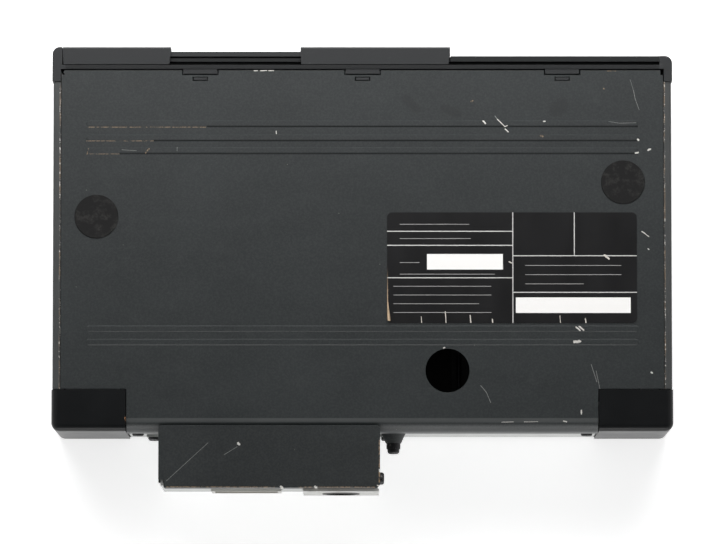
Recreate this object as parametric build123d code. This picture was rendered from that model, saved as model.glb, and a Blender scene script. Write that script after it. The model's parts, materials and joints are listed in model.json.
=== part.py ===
from build123d import *

import math
import os

# Disc changer for a car boot. Millimetres, +Z up, photographed cover on top.
# The origin is the middle of the resting footprint. The magazine slot faces -Y.
# "Depth" counts back from the front face, so depth 0 is the foremost plane.
# The discs, the tray stack and the play bay set the inside; the case follows from them.

# ---------------------------------------------------------------- sheets and clearances
sheet = 1.0
cover_sheet = 0.8
holder_sheet = 0.8
cam_sheet = 1.0
gap = 0.3  # air between pieces that move past each other
line_gap = 0.2  # assembly gap between fixed pieces
fit_gap = 0.1  # between a sheet and the sheet that laps it
join = 0.1  # how far one form runs into the next inside one piece
running = 0.08  # radial clearance of pins and rods
trim_bottom = 0.0
case_bottom = 0.5

# ---------------------------------------------------------------- discs and trays
disc_radius = 60.0
disc_bore = 7.5
disc_thickness = 1.2
disc_well_gap = 0.5
tray_count = 6
tray_pitch = 5.3
tray_height = 3.2
tray_flange = 1.4
tray_flange_width = 3.2
tray_side_rim = 5.55
tray_end_rim = 3.5
tray_side_gap = 0.3
tray_end_gap = 0.8
tray_floor_gap = 0.4
tray_roof_gap = 0.7
tray_cut_radius = 22.0
tray_cut_beyond = 1.3
tray_notch_depth = 6.0
tray_notch_half = 8.0
well_floor = 1.4

# ---------------------------------------------------------------- magazine
magazine_wall = 1.5
magazine_open_side = 4.8
magazine_front = 10.2
magazine_side_space = 6.4
handle_depth = 2.3
handle_corner = 0.8
finger_pocket_left = 36.9
finger_pocket_width = 60.0
finger_pocket_depth = 1.3
rib_width = 2.6
rib_height = 1.0
rib_step = 0.3
lid_recess_radius = 34.0
lid_recess_depth = 0.5
lid_groove_depth = 0.8

# ---------------------------------------------------------------- deck and holder
deck_bottom = 7.0
deck_sheet = 1.0
deck_side_gap = 3.3
deck_front = 11.4
deck_rear_gap = 1.0
light_hole_radius = 9.0
damper_radius = 3.6
damper_waist = 1.5
damper_stud_radius = 1.2
damper_stud_height = 0.3
spring_radius = 3.4
spring_wire = 0.7
spring_turns = 3.5
runner_height = 0.25
runner_clearance = 0.25
runner_half = 2.0
holder_side_gap = 0.6
holder_stop_gap = 0.8
strap_clearance = 1.0
holder_front_gap = 0.6
runner_insets = (14.9, 60.9, 108.9)
stop_inset = 33.2
strap_leg = 20.9
peg_swing = 7.0

# ---------------------------------------------------------------- play unit
play_bay_beyond = 54.1  # how much wider the play bay is than a disc's radius
play_side_space = 6.9
unit_plate_bottom = 5.0
unit_plate = 1.2
unit_flange_bottom = 2.4
unit_side_gap = 12.8
unit_bay_gap = 2.5
unit_front_gap = 0.6
unit_rear_gap = 1.7
bay_from_magazine = 6.3
bay_unit_gap = 1.9
unit_window_width = 16.0
unit_window_length = 32.0
unit_window_inset = 14.0
unit_window_from_disc = 17.85
flange_beyond_pin = 16.0
ear_drop = 1.8
lift_reach = 4.0
lift_pin_radius = 1.0
lift_pin_height = 3.8
lift_pin_pitch = 28.0
turntable_radius = 14.0
turntable_seat = 9.0
turntable_flange = 1.6
hub_height = 1.8
hub_clearance = 0.2
shaft_radius = 1.0
sled_start = 24.0
lead_out_margin = 3.0
sled_half_width = 15.5
sled_length = 10.0
sled_end_gap = 0.5
rod_ear = 1.3
rod_radius = 1.0
rod_fit = 0.02
rod_height = 4.3
rod_offset = 12.5
screw_radius = 1.0
screw_offset = 20.0
screw_drop = 0.1
screw_in_motor = 2.0
sled_below_rods = 1.7
sled_above_rods = 2.1
lens_block_top = 3.6
lens_block_half = 3.2
lens_radius = 2.4
lens_rise = 0.7
fork_half = 1.6
fork_thickness = 0.9
sled_motor_ear_half = 3.6
sled_motor_radius = 2.3
sled_motor_length = 12.0
motor_set_back = 2.0
spindle_motor_radius = 11.0
spindle_motor_drop = 0.1
spindle_motor_floor = 0.7

# ---------------------------------------------------------------- lifting cams
cam_bottom = 2.2
cam_head = 7.7
cam_margin = 5.0
cam_guide_drop = 2.8
cam_side_space = 6.3
cam_end_space = 37.0
cam_bay_reach = 1.5
motor_ear_half = 9.0
motor_hole_radius = 2.0
cam_front_space = 2.0
cam_rear_space = 0.4
bracket_side_space = 3.4
bracket_foot = 4.5
pinion_teeth = 12
gear_module = 0.5
tooth_share = 0.40
lift_motor_radius = 6.8
lift_motor_length = 7.0
motor_shaft_grip = 1.5

# ---------------------------------------------------------------- bezel
bezel_back = 9.1
bezel_wall_front = 4.1
bezel_wall_back = 6.0
bezel_right_front = 3.7
bezel_corner = 3.0
arm_depth = 14.3
arm_thickness = 3.45
trim_side_proud = 0.45
trim_top_proud = 0.5
rail_drop = 1.3
rail_step = 0.6
groove_back = 7.4
groove_left_inset = 4.05
groove_right_inset = 5.15
groove_web = 1.0
sill_drop = 1.5
slot_side_gap = 0.6
slot_key_space = 10.8
slot_head_gap = 2.9
strip_drop = 2.3
guide_lip_front = 8.6
guide_lip_height = 1.8
tab_centres = (66.8, -0.1, -82.4)
tab_width = 14.0
tab_back = 11.1
tab_depth = 2.2
tab_proud = 0.2
catch_width = 5.4
catch_front = 12.6
catch_back = 13.7
tongue_thickness = 1.4
tongue_reach = 6.0
tongue_heights = ((14.0, 24.0), (34.0, 42.0))

# ---------------------------------------------------------------- slot surround
surround_beyond = 12.2
surround_front = 1.9
surround_back = 3.9
surround_lip = 1.2
surround_foot_gap = 0.4
surround_rise = 0.9
block_back = 7.2
block_proud = 0.3
block_skirt = 9.0
block_widths = (44.6, 61.7)
block_slant = 0.6
block_round = 0.8

# ---------------------------------------------------------------- shutter
leaf_thickness = 0.9
leaf_channel_gap = 0.25
rear_leaf_hidden = 0.6
leaf_spare = 6.5
leaf_floor_gap = 0.3
front_leaf_rise = 0.9
rear_leaf_drop = 0.4
grip_show = 7.5
grip_set_in = 1.2
grip_width = 2.0
grip_heights = (14.0, 40.0)

# ---------------------------------------------------------------- case
head_room = 1.9
rear_space = 11.6
cover_edge_gap = 0.4
cover_ledge = 3.4
side_flange = 3.0
cover_front = 9.6
cover_bend = 6.0
corner_relief = 2.0
foot_flange = 9.0
foot_thickness = 0.9
cover_lip = 15.0
cap_width = 30.55
cap_length = 17.1
cap_wall = 1.8
cap_corner = 3.5
cap_top_round = 3.0
cap_tongue_low = 14.0
cap_tongue_high = 42.0
cap_tongue_reach = 8.0
cap_screw_inset = 4.2
cap_screw_height = 28.0
cap_screw_bore = 1.3
cap_tongue_thickness = 1.6
cap_side_reach = 7.0
bead_inset = 10.2
bead_width = 2.8
bead_rise = 0.35
front_bead_edges = (33.1, 38.95, 44.3)
rear_bead_from_back = (40.9, 35.4)
seal_radius = 9.05
seal_hole_radius = 6.5
seal_thickness = 0.4
seal_spigot = 1.6
seal_spigot_fit = 0.15
seal_label_space = 3.45
service_hole_radius = 9.05
label_inset = 11.0
label_width = 102.7
label_length = 45.6
label_corner = 2.0
label_bead_gap = 1.0
label_thickness = 0.2

# ---------------------------------------------------------------- side fittings
mount_bore_radius = 2.0
mount_nut_radius = 3.6
mount_nut_length = 2.5
mount_first_depth = 35.0
mount_from_flange_end = 16.2
mount_drop = 6.5
dial_radius = 8.6
dial_proud = 0.3
dial_flange = 1.4
dial_flange_thickness = 0.7
dial_slot_half = 0.9
dial_slot_reach = 6.0

# ---------------------------------------------------------------- interface box
box_from_wall = 43.6
box_width = 91.0
box_overlap = 2.6
box_depth = 25.6
box_bottom = 2.0
box_flange_width = 6.0
box_flange_low = 3.0
box_flange_top = 20.0
box_flange_heights = (11.0, 17.0)
lid_skirt = 9.0
lid_notch_width = 2.2
lid_notch_depth = 3.3
lid_corner = 1.6
lid_side_gap = 1.2
round_socket_from_end = 16.1
round_socket_z = 30.0
round_socket_radius = 6.3
round_socket_wall = 1.4
socket_plate_half = 15.7
socket_plate_rise = 18.0
socket_plate_thickness = 1.2
socket_proud = 1.7
power_socket_from_end = 55.3
power_socket_z = 27.0
power_socket_width = 26.0
power_socket_height = 14.0
power_socket_proud = 0.6
power_socket_rim = 3.0
power_socket_rim_depth = 3.4
socket_wall = 1.5
socket_depth = 10.0
pin_length = 5.0
pin_radius = 0.5
pin_circle = 3.8
pin_pitch = 3.8
pin_row_offset = 3.2
screw_hole_radius = 1.6
boss_gap = 5.6
boss_height = 30.0
boss_length = 4.3
boss_base_radius = 5.2
boss_tip_radius = 3.2
boss_bore_radius = 1.7
boss_thread_radius = 1.5
washer_radius = 2.9
washer_thickness = 2.4
side_screw_from_back = 4.0
side_screw_drop = 6.0
screw_reach = 4.0
flange_thread_radius = 1.45
cap_thread_radius = 1.2

# ---------------------------------------------------------------- boards and cable
board_thickness = 1.6
board_rise = 1.1
board_boss_radius = 2.6
board_wall_space = 23.3
board_bay_space = 7.2
board_front = 24.0
board_rear_space = 20.9
board_screw_inset = 6.0
board_boss_inset = 20.0
interface_board_set_in = 13.0
interface_board_end_gap = 0.6
interface_board_drop = 6.0
chip_height = 1.6
interface_chips = (
    (61.3, -8.2, 9, 5),
    (15.3, -10.2, 7, 7),
    (51.3, 8.8, 12, 5),
    (15.3, 11.8, 6, 4),
)
cable_from_end = 19.3
cable_width = 16.0
cable_height = 20.0
cable_thickness = 0.4
cable_window_from_end = 11.3
cable_window_width = 36.0
rear_window_low = 10.0
rear_window_high = 34.0

# ---------------------------------------------------------------- eject key
key_from_magazine = 5.8
key_half_width = 3.2
key_height = 9.0
key_head_gap = 1.0
key_front = 9.7
key_free_play = 0.5
key_stem_half = 1.6
key_clearance = 0.8
escutcheon_front = 9.1
escutcheon_back = 10.6
escutcheon_beyond = 6.0
lever_from_magazine = 15.8
lever_pivot_depth = 26.0
lever_sheet = 1.2
lever_pin_radius = 1.5
lever_hub_radius = 4.0
lever_peg_inset = 5.2
lever_peg_depth = 39.6
lever_peg_radius = 1.1
lever_peg_boss = 2.2
lever_arm = 7.0
pin_neck = 2.1
pin_head = 0.8
pin_head_radius = 3.2
lever_spring_radius = 2.3
lever_spring_wire = 0.45
strap_front = 21.5
strap_back = 44.0
strap_beyond = 6.0

# ---------------------------------------------------------------- widths, worked out
tray_width = 2 * (disc_radius + tray_end_rim)
magazine_width = magazine_wall + tray_end_gap + tray_width + magazine_open_side
play_bay_width = disc_radius + play_bay_beyond
case_width = magazine_side_space + magazine_width + play_bay_width
trim_width = case_width + 2 * trim_side_proud
trim_x = trim_width / 2
wall_x = case_width / 2
flange_x = wall_x - side_flange
cover_x = flange_x - cover_edge_gap
cap_inner = trim_x - cap_width
magazine_left = wall_x - magazine_side_space
magazine_right = magazine_left - magazine_width
tray_left = magazine_left - magazine_wall - tray_end_gap
tray_right = tray_left - tray_width
disc_x = (tray_left + tray_right) / 2
play_x = disc_radius + play_side_space - wall_x
slot_left = magazine_left + slot_side_gap
slot_right = magazine_right - slot_key_space
groove_left = trim_x - groove_left_inset
groove_right = groove_right_inset - trim_x
surround_left = groove_left - line_gap
surround_right = slot_right - surround_beyond
bead_half = cover_x - bead_inset
deck_half_width = wall_x - deck_side_gap
bay_left = magazine_right - bay_from_magazine
bay_cam_right = cam_side_space - wall_x
bracket_left = bay_left + bracket_foot
bracket_right = bracket_side_space - wall_x
unit_left = bay_left - unit_bay_gap
unit_right = unit_side_gap - wall_x
bay_right = unit_right - bay_unit_gap
last_lift_pin = bay_cam_right + cam_end_space
lift_pin_spots = (last_lift_pin + lift_pin_pitch, last_lift_pin)
cam_guide_studs = (lift_pin_spots[0] - lift_reach, lift_pin_spots[1] + lift_reach)
pinion_x = (cam_guide_studs[0] + cam_guide_studs[1]) / 2
key_centre = magazine_right - key_from_magazine
escutcheon_right = slot_right - escutcheon_beyond
lever_pivot_x = magazine_right - lever_from_magazine
lever_peg_x = magazine_right + lever_peg_inset
strap_right = lever_pivot_x - strap_beyond
box_left = wall_x - box_from_wall
box_right = box_left - box_width
boss_x = box_right - boss_gap
round_socket_x = box_right + round_socket_from_end
power_socket_x = box_right + power_socket_from_end
cable_x = box_right + cable_from_end
board_left = wall_x - board_wall_space
board_right = magazine_right + board_bay_space
cap_screw_x = cap_inner - cap_screw_inset
label_right = label_inset - cover_x
label_left = label_right + label_width

# ---------------------------------------------------------------- depths, worked out
case_front = magazine_front + handle_depth
tray_front = case_front + magazine_wall + tray_side_gap
tray_back = tray_front + 2 * (disc_radius + tray_side_rim)
magazine_back = tray_back + tray_side_gap + magazine_wall
disc_depth = (tray_front + tray_back) / 2
cover_back = magazine_back + rear_space
cap_back = cover_back - line_gap
cap_front = cap_back - cap_length
flange_back = cap_front - gap
rear_panel_front = cover_back - cover_sheet - fit_gap - sheet
floor_back = rear_panel_front + sheet - fit_gap
box_front = cover_back - box_overlap
box_back = box_front + box_depth
overall_depth = box_back + socket_proud
half_depth = overall_depth / 2
interface_board_front = box_back - interface_board_set_in
deck_back = rear_panel_front - deck_rear_gap
board_back = rear_panel_front - board_rear_space
unit_front = tray_front + unit_front_gap
unit_back = tray_back - unit_rear_gap
cam_front_depth = tray_front - cam_front_space
bracket_front_depth = cam_front_depth - gap - cam_sheet
cam_rear_depth = tray_back + cam_rear_space
bracket_rear_depth = cam_rear_depth + cam_sheet + gap
bay_back = bracket_rear_depth + cam_sheet + gap
sled_travel = disc_radius - lead_out_margin - sled_start
mount_depths = (mount_first_depth, flange_back - mount_from_flange_end)
dial_depth = (mount_depths[0] + mount_depths[1]) / 2
rear_bead_edges = tuple(cover_back - inset for inset in rear_bead_from_back)
label_back = rear_bead_edges[0] - bead_width - label_bead_gap
label_front = label_back - label_length
front_leaf_front = bezel_wall_back + leaf_channel_gap
rear_leaf_front = front_leaf_front + leaf_thickness + gap

# ---------------------------------------------------------------- heights, worked out
floor_top = case_bottom + sheet
board_bottom = floor_top + board_rise
deck_top = deck_bottom + deck_sheet
holder_floor_top = deck_top + holder_sheet
magazine_bottom = holder_floor_top + runner_height + runner_clearance
tray_base = magazine_bottom + magazine_wall + tray_floor_gap
tray_stack = (tray_count - 1) * tray_pitch + tray_height
magazine_top = tray_base + tray_stack + tray_roof_gap + magazine_wall
lift = (tray_count - 1) * tray_pitch + lift_reach
cam_top = lift_pin_height + lift + cam_head
cam_guide_height = cam_top - cam_guide_drop
pinion_pitch_radius = pinion_teeth * gear_module / 2
rack_pitch_height = cam_top + gear_module
pinion_z = rack_pitch_height + pinion_pitch_radius
case_top = pinion_z + lift_motor_radius + head_room + cover_sheet
trim_height = case_top + trim_top_proud
rail_top = trim_height - rail_drop
block_top = trim_height + block_proud
cover_under = case_top - cover_sheet
ledge_top = cover_under - fit_gap
cover_lip_bottom = case_top - cover_lip
mount_height = case_top - mount_drop
dial_height = case_top / 2
slot_bottom = deck_top
sill_top = slot_bottom - sill_drop
slot_top = magazine_top + slot_head_gap
strip_bottom = slot_top + strip_drop
front_leaf_top = strip_bottom + front_leaf_rise
rear_leaf_top = strip_bottom - rear_leaf_drop
channel_roof = front_leaf_top + gap
groove_floor = channel_roof + groove_web
leaf_bottom = sill_top + leaf_floor_gap
key_top = slot_top - key_head_gap
key_bottom = key_top - key_height
strap_bottom = magazine_top + strap_clearance
strap_top = strap_bottom + holder_sheet
lever_bottom = strap_top + gap
lever_top = lever_bottom + lever_sheet
screw_height = rod_height - screw_drop
ear_bottom = rod_height - ear_drop

# ---------------------------------------------------------------- places in plan, worked out
leaf_width = (slot_left - slot_right + leaf_spare) / 2
front_leaf_left = slot_right + grip_show
rear_leaf_left = slot_right - rear_leaf_hidden
block_spans = (
    (surround_left, surround_left - block_widths[0]),
    (surround_right + block_widths[1], surround_right),
)
seal_spots = (
    (cover_x - 14.5, 70.2),
    (16.6 - cover_x, label_front - seal_label_space - seal_radius),
)
open_service_hole = (play_x + 25.4, cover_back - 25.1)
damper_spots = (
    (deck_half_width - 12.0, 17.5),
    (deck_half_width - 12.0, deck_back - 19.9),
    (3.8 - deck_half_width, 30.0),
    (3.8 - deck_half_width, deck_back - 21.9),
)
spring_spots = (
    (magazine_left - 32.9, 17.5),
    (magazine_left - 32.9, deck_back - 13.4),
    (magazine_right + 15.2, 17.5),
    (cable_x - 10.0, deck_back - 13.4),
)
light_holes = (
    (magazine_right + 43.2, tray_front + 35.7),
    (magazine_left - 30.9, tray_front + 35.7),
    (magazine_right + 43.2, tray_back - 35.4),
    (magazine_left - 30.9, tray_back - 35.4),
)
main_chips = (
    (board_left - 14, board_front + 36, 20, 20, 1.6),
    (board_left - 44, board_front + 36, 14, 14, 1.4),
    (board_right + 36, board_front + 28, 12, 8, 1.4),
    (board_left - 12, board_back - 36, 10, 16, 1.6),
    (board_left - 42, board_back - 38, 24, 10, 1.8),
    (board_right + 36, board_back - 36, 9, 9, 1.4),
    (board_right + 16, board_front + 56, 6, 12, 1.4),
    (board_right + 26, board_back - 10, 22, 6, 1.8),
)
board_bosses = (
    (board_right + board_boss_inset, board_front + board_screw_inset),
    (board_left - board_screw_inset, board_front + board_screw_inset),
    (board_right + board_boss_inset, board_back - board_screw_inset),
    (board_left - board_screw_inset, board_back - board_screw_inset),
)


# ---------------------------------------------------------------- shape helpers
def along(depth):
    """The Y of a depth behind the front face."""
    return depth - half_depth


def bar(x0, x1, d0, d1, z0, z1):
    """A square-edged bar between two X, two depths and two heights."""
    centre = Pos((x0 + x1) / 2, along((d0 + d1) / 2), (z0 + z1) / 2)
    return centre * Box(abs(x1 - x0), abs(d1 - d0), abs(z1 - z0))


def plate(x0, x1, d0, d1, z0, z1, corner):
    """A flat plate with rounded corners in plan."""
    outline = RectangleRounded(abs(x1 - x0), abs(d1 - d0), corner)
    return Pos((x0 + x1) / 2, along((d0 + d1) / 2), z0) * extrude(outline, z1 - z0)


def post(x, depth, z0, z1, radius):
    """An upright round post."""
    return Pos(x, along(depth), (z0 + z1) / 2) * Cylinder(radius, z1 - z0)


def rod_back(x, d0, d1, z, radius):
    """A round rod that runs front to back."""
    turn = Pos(x, along((d0 + d1) / 2), z) * Rot(90, 0, 0)
    return turn * Cylinder(radius, d1 - d0)


def rod_across(x0, x1, depth, z, radius):
    """A round rod that runs side to side."""
    turn = Pos((x0 + x1) / 2, along(depth), z) * Rot(0, 90, 0)
    return turn * Cylinder(radius, abs(x1 - x0))


def front_profile(points, d0, d1):
    """A prism along Y from (x, z) points."""
    outline = Polyline(*[(x, 0, z) for x, z in points], close=True)
    return Pos(0, along(d0), 0) * extrude(make_face(outline), d1 - d0, dir=(0, 1, 0))


def plan_profile(points, z0, z1):
    """A prism along Z from (x, depth) points."""
    outline = Polyline(*[(x, along(d), z0) for x, d in points], close=True)
    return extrude(make_face(outline), z1 - z0, dir=(0, 0, 1))


def upright_edges(shape, x, depth, reach=0.6):
    """The vertical edges of a shape near one plan position."""
    found = []
    for edge in shape.edges().filter_by(Axis.Z):
        centre = edge.center()
        if abs(centre.X - x) < reach and abs(centre.Y - along(depth)) < reach:
            found.append(edge)
    return found


def coil(x, depth, z0, z1, radius, wire, turns):
    """A round-wire coil spring standing on end."""
    height = z1 - z0 - wire
    path = Helix(height / turns, height, radius)
    start = path @ 0
    section = Plane(origin=start, z_dir=path % 0) * Circle(wire / 2)
    spring = sweep(section, path=path, is_frenet=True)
    return Pos(x, along(depth), z0 + wire / 2) * spring


def screw_head(radius, height, socket):
    """A domed cross-slot screw head, crown up, seated at the origin."""
    head = Pos(0, 0, height / 2) * Cylinder(radius, height)
    head = fillet(head.edges().filter_by(GeomType.CIRCLE).sort_by(Axis.Z)[-1], height * 0.6)
    cross = Pos(0, 0, height) * Box(socket * 2, socket * 0.3, height)
    cross += Pos(0, 0, height) * Box(socket * 0.3, socket * 2, height)
    return head - cross


def write(name, shape):
    """One STEP file per node; a list is written as a group of solids."""
    if isinstance(shape, (list, tuple)):
        solids = []
        for item in shape:
            solids.extend(item.solids())
        shape = Compound(children=solids)
    else:
        solids = shape.solids()
        shape = solids[0] if len(solids) == 1 else Compound(children=solids)
    shape.label = name
    export_step(shape, "parts/" + name + ".step")


# ---------------------------------------------------------------- case pieces
def chassis_tray():
    """Floor and side walls in one bent sheet, with stepped top flanges."""
    tray = bar(-wall_x, wall_x, arm_depth + line_gap, floor_back, case_bottom, floor_top)
    tray += bar(-flange_x, flange_x, bezel_back + gap, arm_depth + 1, case_bottom, floor_top)
    for side in (1, -1):
        notch_in = side * cap_inner
        notch_out = side * (wall_x + 1)
        tray -= bar(notch_in, notch_out, cap_front - line_gap, floor_back + 1, 0, floor_top + 1)
        profile = [
            (side * wall_x, case_bottom),
            (side * wall_x, case_top),
            (side * flange_x, case_top),
            (side * flange_x, ledge_top),
            (side * (flange_x - cover_ledge), ledge_top),
            (side * (flange_x - cover_ledge), ledge_top - sheet),
            (side * (flange_x + sheet), ledge_top - sheet),
            (side * (flange_x + sheet), case_top - sheet),
            (side * (wall_x - sheet), case_top - sheet),
            (side * (wall_x - sheet), case_bottom),
        ]
        wall = front_profile(profile, arm_depth + line_gap, flange_back)
        outer = []
        for edge in wall.edges().filter_by(Axis.Y):
            centre = edge.center()
            if abs(abs(centre.X) - wall_x) < 0.1 and centre.Z > case_top - 0.1:
                outer.append(edge)
        wall = fillet(outer, 0.9)
        for depth in mount_depths:
            wall -= rod_across(
                side * (wall_x + 1), side * (wall_x - 2), depth, mount_height, mount_bore_radius
            )
        wall -= rod_across(
            side * (wall_x + 1),
            side * (wall_x - 2),
            dial_depth,
            dial_height,
            dial_radius + gap,
        )
        tray += wall
    for x, d in board_bosses:
        tray += post(x, d, floor_top - join, board_bottom, board_boss_radius)
    for x, d in damper_spots:
        tray += post(x, d, floor_top - join, floor_top + damper_stud_height, damper_stud_radius)
    return tray


def bead(edge_depth):
    """One pressed stiffening bead with sloping flanks."""
    low, high = edge_depth - bead_width, edge_depth
    slope = bead_rise * 1.2
    base = RectangleRounded(bead_half * 2, bead_width, bead_width / 2 - 0.01)
    crown = RectangleRounded(
        bead_half * 2 - 2 * slope, bead_width - 2 * slope, bead_width / 2 - slope - 0.01
    )
    middle = along((low + high) / 2)
    return loft(
        [
            Plane(origin=(0, middle, case_top - 0.05)) * base,
            Plane(origin=(0, middle, case_top + bead_rise)) * crown,
        ]
    )


def top_cover():
    """Painted cover with a rear bend, a hanging lip, beads and three service holes."""
    under = cover_under
    flat_end = cover_back - cover_bend
    lip_half = cap_inner - gap
    above = case_top + sheet
    cover = bar(-cover_x, cover_x, cover_front, flat_end, under, case_top)
    bend = rod_across(-lip_half, lip_half, flat_end, case_top - cover_bend, cover_bend)
    inner = cover_bend - cover_sheet
    bend -= rod_across(-cap_inner, cap_inner, flat_end, case_top - cover_bend, inner)
    keep = bar(-cover_x, cover_x, flat_end, cover_back + 1, case_top - cover_bend, above)
    cover += bend & keep
    cover += bar(
        -lip_half,
        lip_half,
        cover_back - cover_sheet,
        cover_back,
        cover_lip_bottom,
        case_top - cover_bend + 0.01,
    )
    for side in (1, -1):
        cover -= bar(
            side * lip_half, side * trim_x, cap_front - gap, cover_back, under - 1, above
        )
        cover -= bar(
            side * (cover_x - sheet),
            side * trim_x,
            cover_front - 1,
            cover_front + corner_relief,
            under - 1,
            above,
        )
    for centre in tab_centres:
        half = tab_width / 2 + line_gap
        cover -= bar(
            centre - half, centre + half, cover_front - 1, tab_back + line_gap, under - 1, above
        )
        half = catch_width / 2 + line_gap
        cover -= bar(
            centre - half, centre + half, catch_front - line_gap, catch_back + line_gap, under - 1, above
        )
    for edge_depth in front_bead_edges + rear_bead_edges:
        cover += bead(edge_depth)
    for x, d in seal_spots:
        cover -= post(x, d, under - 1, above, seal_hole_radius)
        cover -= post(x, d, case_top, above, seal_radius + gap)
    x, d = open_service_hole
    cover -= post(x, d, under - 1, above, service_hole_radius)
    return cover


def rear_panel():
    """Rear wall sheet with a foot flange and a cable window."""
    half = cap_inner - cover_edge_gap
    before = rear_panel_front - 1
    back = rear_panel_front + sheet
    panel = bar(-half, half, rear_panel_front, back, floor_top, case_top - cover_bend)
    panel += bar(
        -half,
        half,
        rear_panel_front - foot_flange,
        rear_panel_front + join,
        floor_top,
        floor_top + foot_thickness,
    )
    window = box_right + cable_window_from_end
    panel -= bar(window, window + cable_window_width, before, back + 1, rear_window_low, rear_window_high)
    panel -= rod_back(boss_x, before, back + 1, boss_height, boss_bore_radius)
    for side in (1, -1):
        panel -= rod_back(side * cap_screw_x, before, back + 1, cap_screw_height, screw_hole_radius)
    for x in box_flange_centres():
        for z in box_flange_heights:
            panel -= rod_back(x, before, back + 1, z, screw_hole_radius)
    return panel


def box_flange_centres():
    """X centres of the interface box's two fixing flanges."""
    return (box_left + box_flange_width / 2, box_right - box_flange_width / 2)


def corner_cap(side):
    """Rear corner cap: a rounded plastic shell with two locating tongues."""
    outer = bar(side * cap_inner, side * trim_x, cap_front, cap_back, trim_bottom, trim_height)
    outer = fillet(upright_edges(outer, side * trim_x, cap_back), cap_corner)
    rear_top = []
    for edge in outer.edges():
        centre = edge.center()
        if centre.Z > trim_height - 0.01 and centre.Y > along(cap_back - cap_corner):
            rear_top.append(edge)
    outer = fillet(rear_top, cap_top_round)
    inner = bar(
        side * (cap_inner - 1),
        side * (trim_x - cap_wall),
        cap_front - 1,
        cap_back - cap_wall,
        trim_bottom + cap_wall,
        trim_height - cap_wall,
    )
    inner = fillet(
        upright_edges(inner, side * (trim_x - cap_wall), cap_back - cap_wall), cap_corner - cap_wall
    )
    cap = outer - inner
    low, high = cap_tongue_low, cap_tongue_high
    thick = cap_tongue_thickness
    root = cap_inner + 3
    tongue_back = rear_panel_front - fit_gap
    tongue_front = tongue_back - thick
    cap += bar(side * (cap_inner - cap_tongue_reach), side * root, tongue_front, tongue_back, low, high)
    cap += bar(side * (cap_inner + line_gap), side * root, tongue_front, cap_back - 1, low, high)
    cap -= rod_back(
        side * cap_screw_x, tongue_front - 1, tongue_back + 1, cap_screw_height, cap_screw_bore
    )
    inside = wall_x - sheet - line_gap
    side_root = cap_front + 3
    cap += bar(
        side * (inside - thick), side * inside, cap_front - cap_side_reach, side_root, low, high
    )
    cap += bar(side * (inside - thick), side * (trim_x - 0.5), cap_front + 0.5, side_root, low, high)
    return cap


def front_bezel():
    """Front moulding: slotted wall, leaf channel, sill, arms and snap tabs."""
    bezel = bar(-trim_x, trim_x, bezel_wall_front, bezel_wall_back, trim_bottom, rail_top)
    bezel += bar(
        -trim_x,
        surround_right - line_gap,
        bezel_right_front,
        bezel_wall_back,
        trim_bottom,
        rail_top + rail_step,
    )
    bezel += bar(groove_left, trim_x, 0, arm_depth, trim_bottom, trim_height)
    bezel += bar(-trim_x, groove_right, bezel_right_front, arm_depth, trim_bottom, trim_height)
    bezel += bar(-trim_x, trim_x, groove_back, bezel_back, strip_bottom, trim_height)
    bezel += bar(-trim_x, trim_x, bezel_wall_front, bezel_back, trim_bottom, sill_top)
    lip_low = strip_bottom - guide_lip_height - gap
    lip_end = groove_left + 1
    bezel += bar(groove_right - 1, lip_end, guide_lip_front, bezel_back, lip_low, strip_bottom + 1)
    bezel += bar(groove_right - 1, lip_end, guide_lip_front, bezel_back, sill_top - 1, slot_bottom)
    for side in (1, -1):
        inner_x = side * (trim_x - arm_thickness)
        clear = bar(inner_x, 0, bezel_back, arm_depth + 1, trim_bottom - 1, trim_height + 1)
        bezel -= clear
    bezel -= bar(slot_left, slot_right, bezel_wall_front - 1, bezel_wall_back, slot_bottom, slot_top)
    bezel -= bar(
        slot_left, slot_right, bezel_wall_back, bezel_back + join, slot_bottom, lip_low
    )
    front_edges = upright_edges(bezel, trim_x, 0) + upright_edges(bezel, -trim_x, bezel_right_front)
    bezel = fillet(front_edges, bezel_corner)
    channel = bar(groove_left, groove_right, bezel_wall_back, guide_lip_front, sill_top, strip_bottom)
    bezel -= channel
    bezel -= bar(groove_left, groove_right, bezel_wall_back, groove_back, sill_top, channel_roof)
    bezel += bar(
        groove_left + 1,
        groove_right - 1,
        bezel_wall_back - join,
        groove_back + join,
        channel_roof,
        groove_floor,
    )
    bezel += bar(
        magazine_right - slot_side_gap,
        escutcheon_right,
        escutcheon_front - gap,
        escutcheon_back,
        sill_top - 1,
        strip_bottom + 1,
    )
    bezel -= bar(
        key_centre - key_half_width - gap,
        key_centre + key_half_width + gap,
        escutcheon_front - 1,
        escutcheon_back + 1,
        key_bottom - gap,
        key_top + gap,
    )
    for centre in tab_centres:
        bezel += bar(
            centre - tab_width / 2,
            centre + tab_width / 2,
            bezel_back - 0.5,
            tab_back,
            case_top - tab_depth,
            case_top + tab_proud,
        )
        hook = bar(
            centre - catch_width / 2,
            centre + catch_width / 2,
            tab_back - 0.5,
            catch_back,
            case_top - tab_depth,
            cover_under - line_gap,
        )
        hook += bar(
            centre - catch_width / 2,
            centre + catch_width / 2,
            catch_front,
            catch_back,
            case_top - tab_depth,
            case_top - fit_gap,
        )
        bezel += hook
    for side in (1, -1):
        inside = wall_x - sheet - line_gap
        for z0, z1 in tongue_heights:
            bezel += bar(
                side * (inside - tongue_thickness),
                side * inside,
                arm_depth - 3,
                arm_depth + tongue_reach,
                z0,
                z1,
            )
    return bezel


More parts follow.
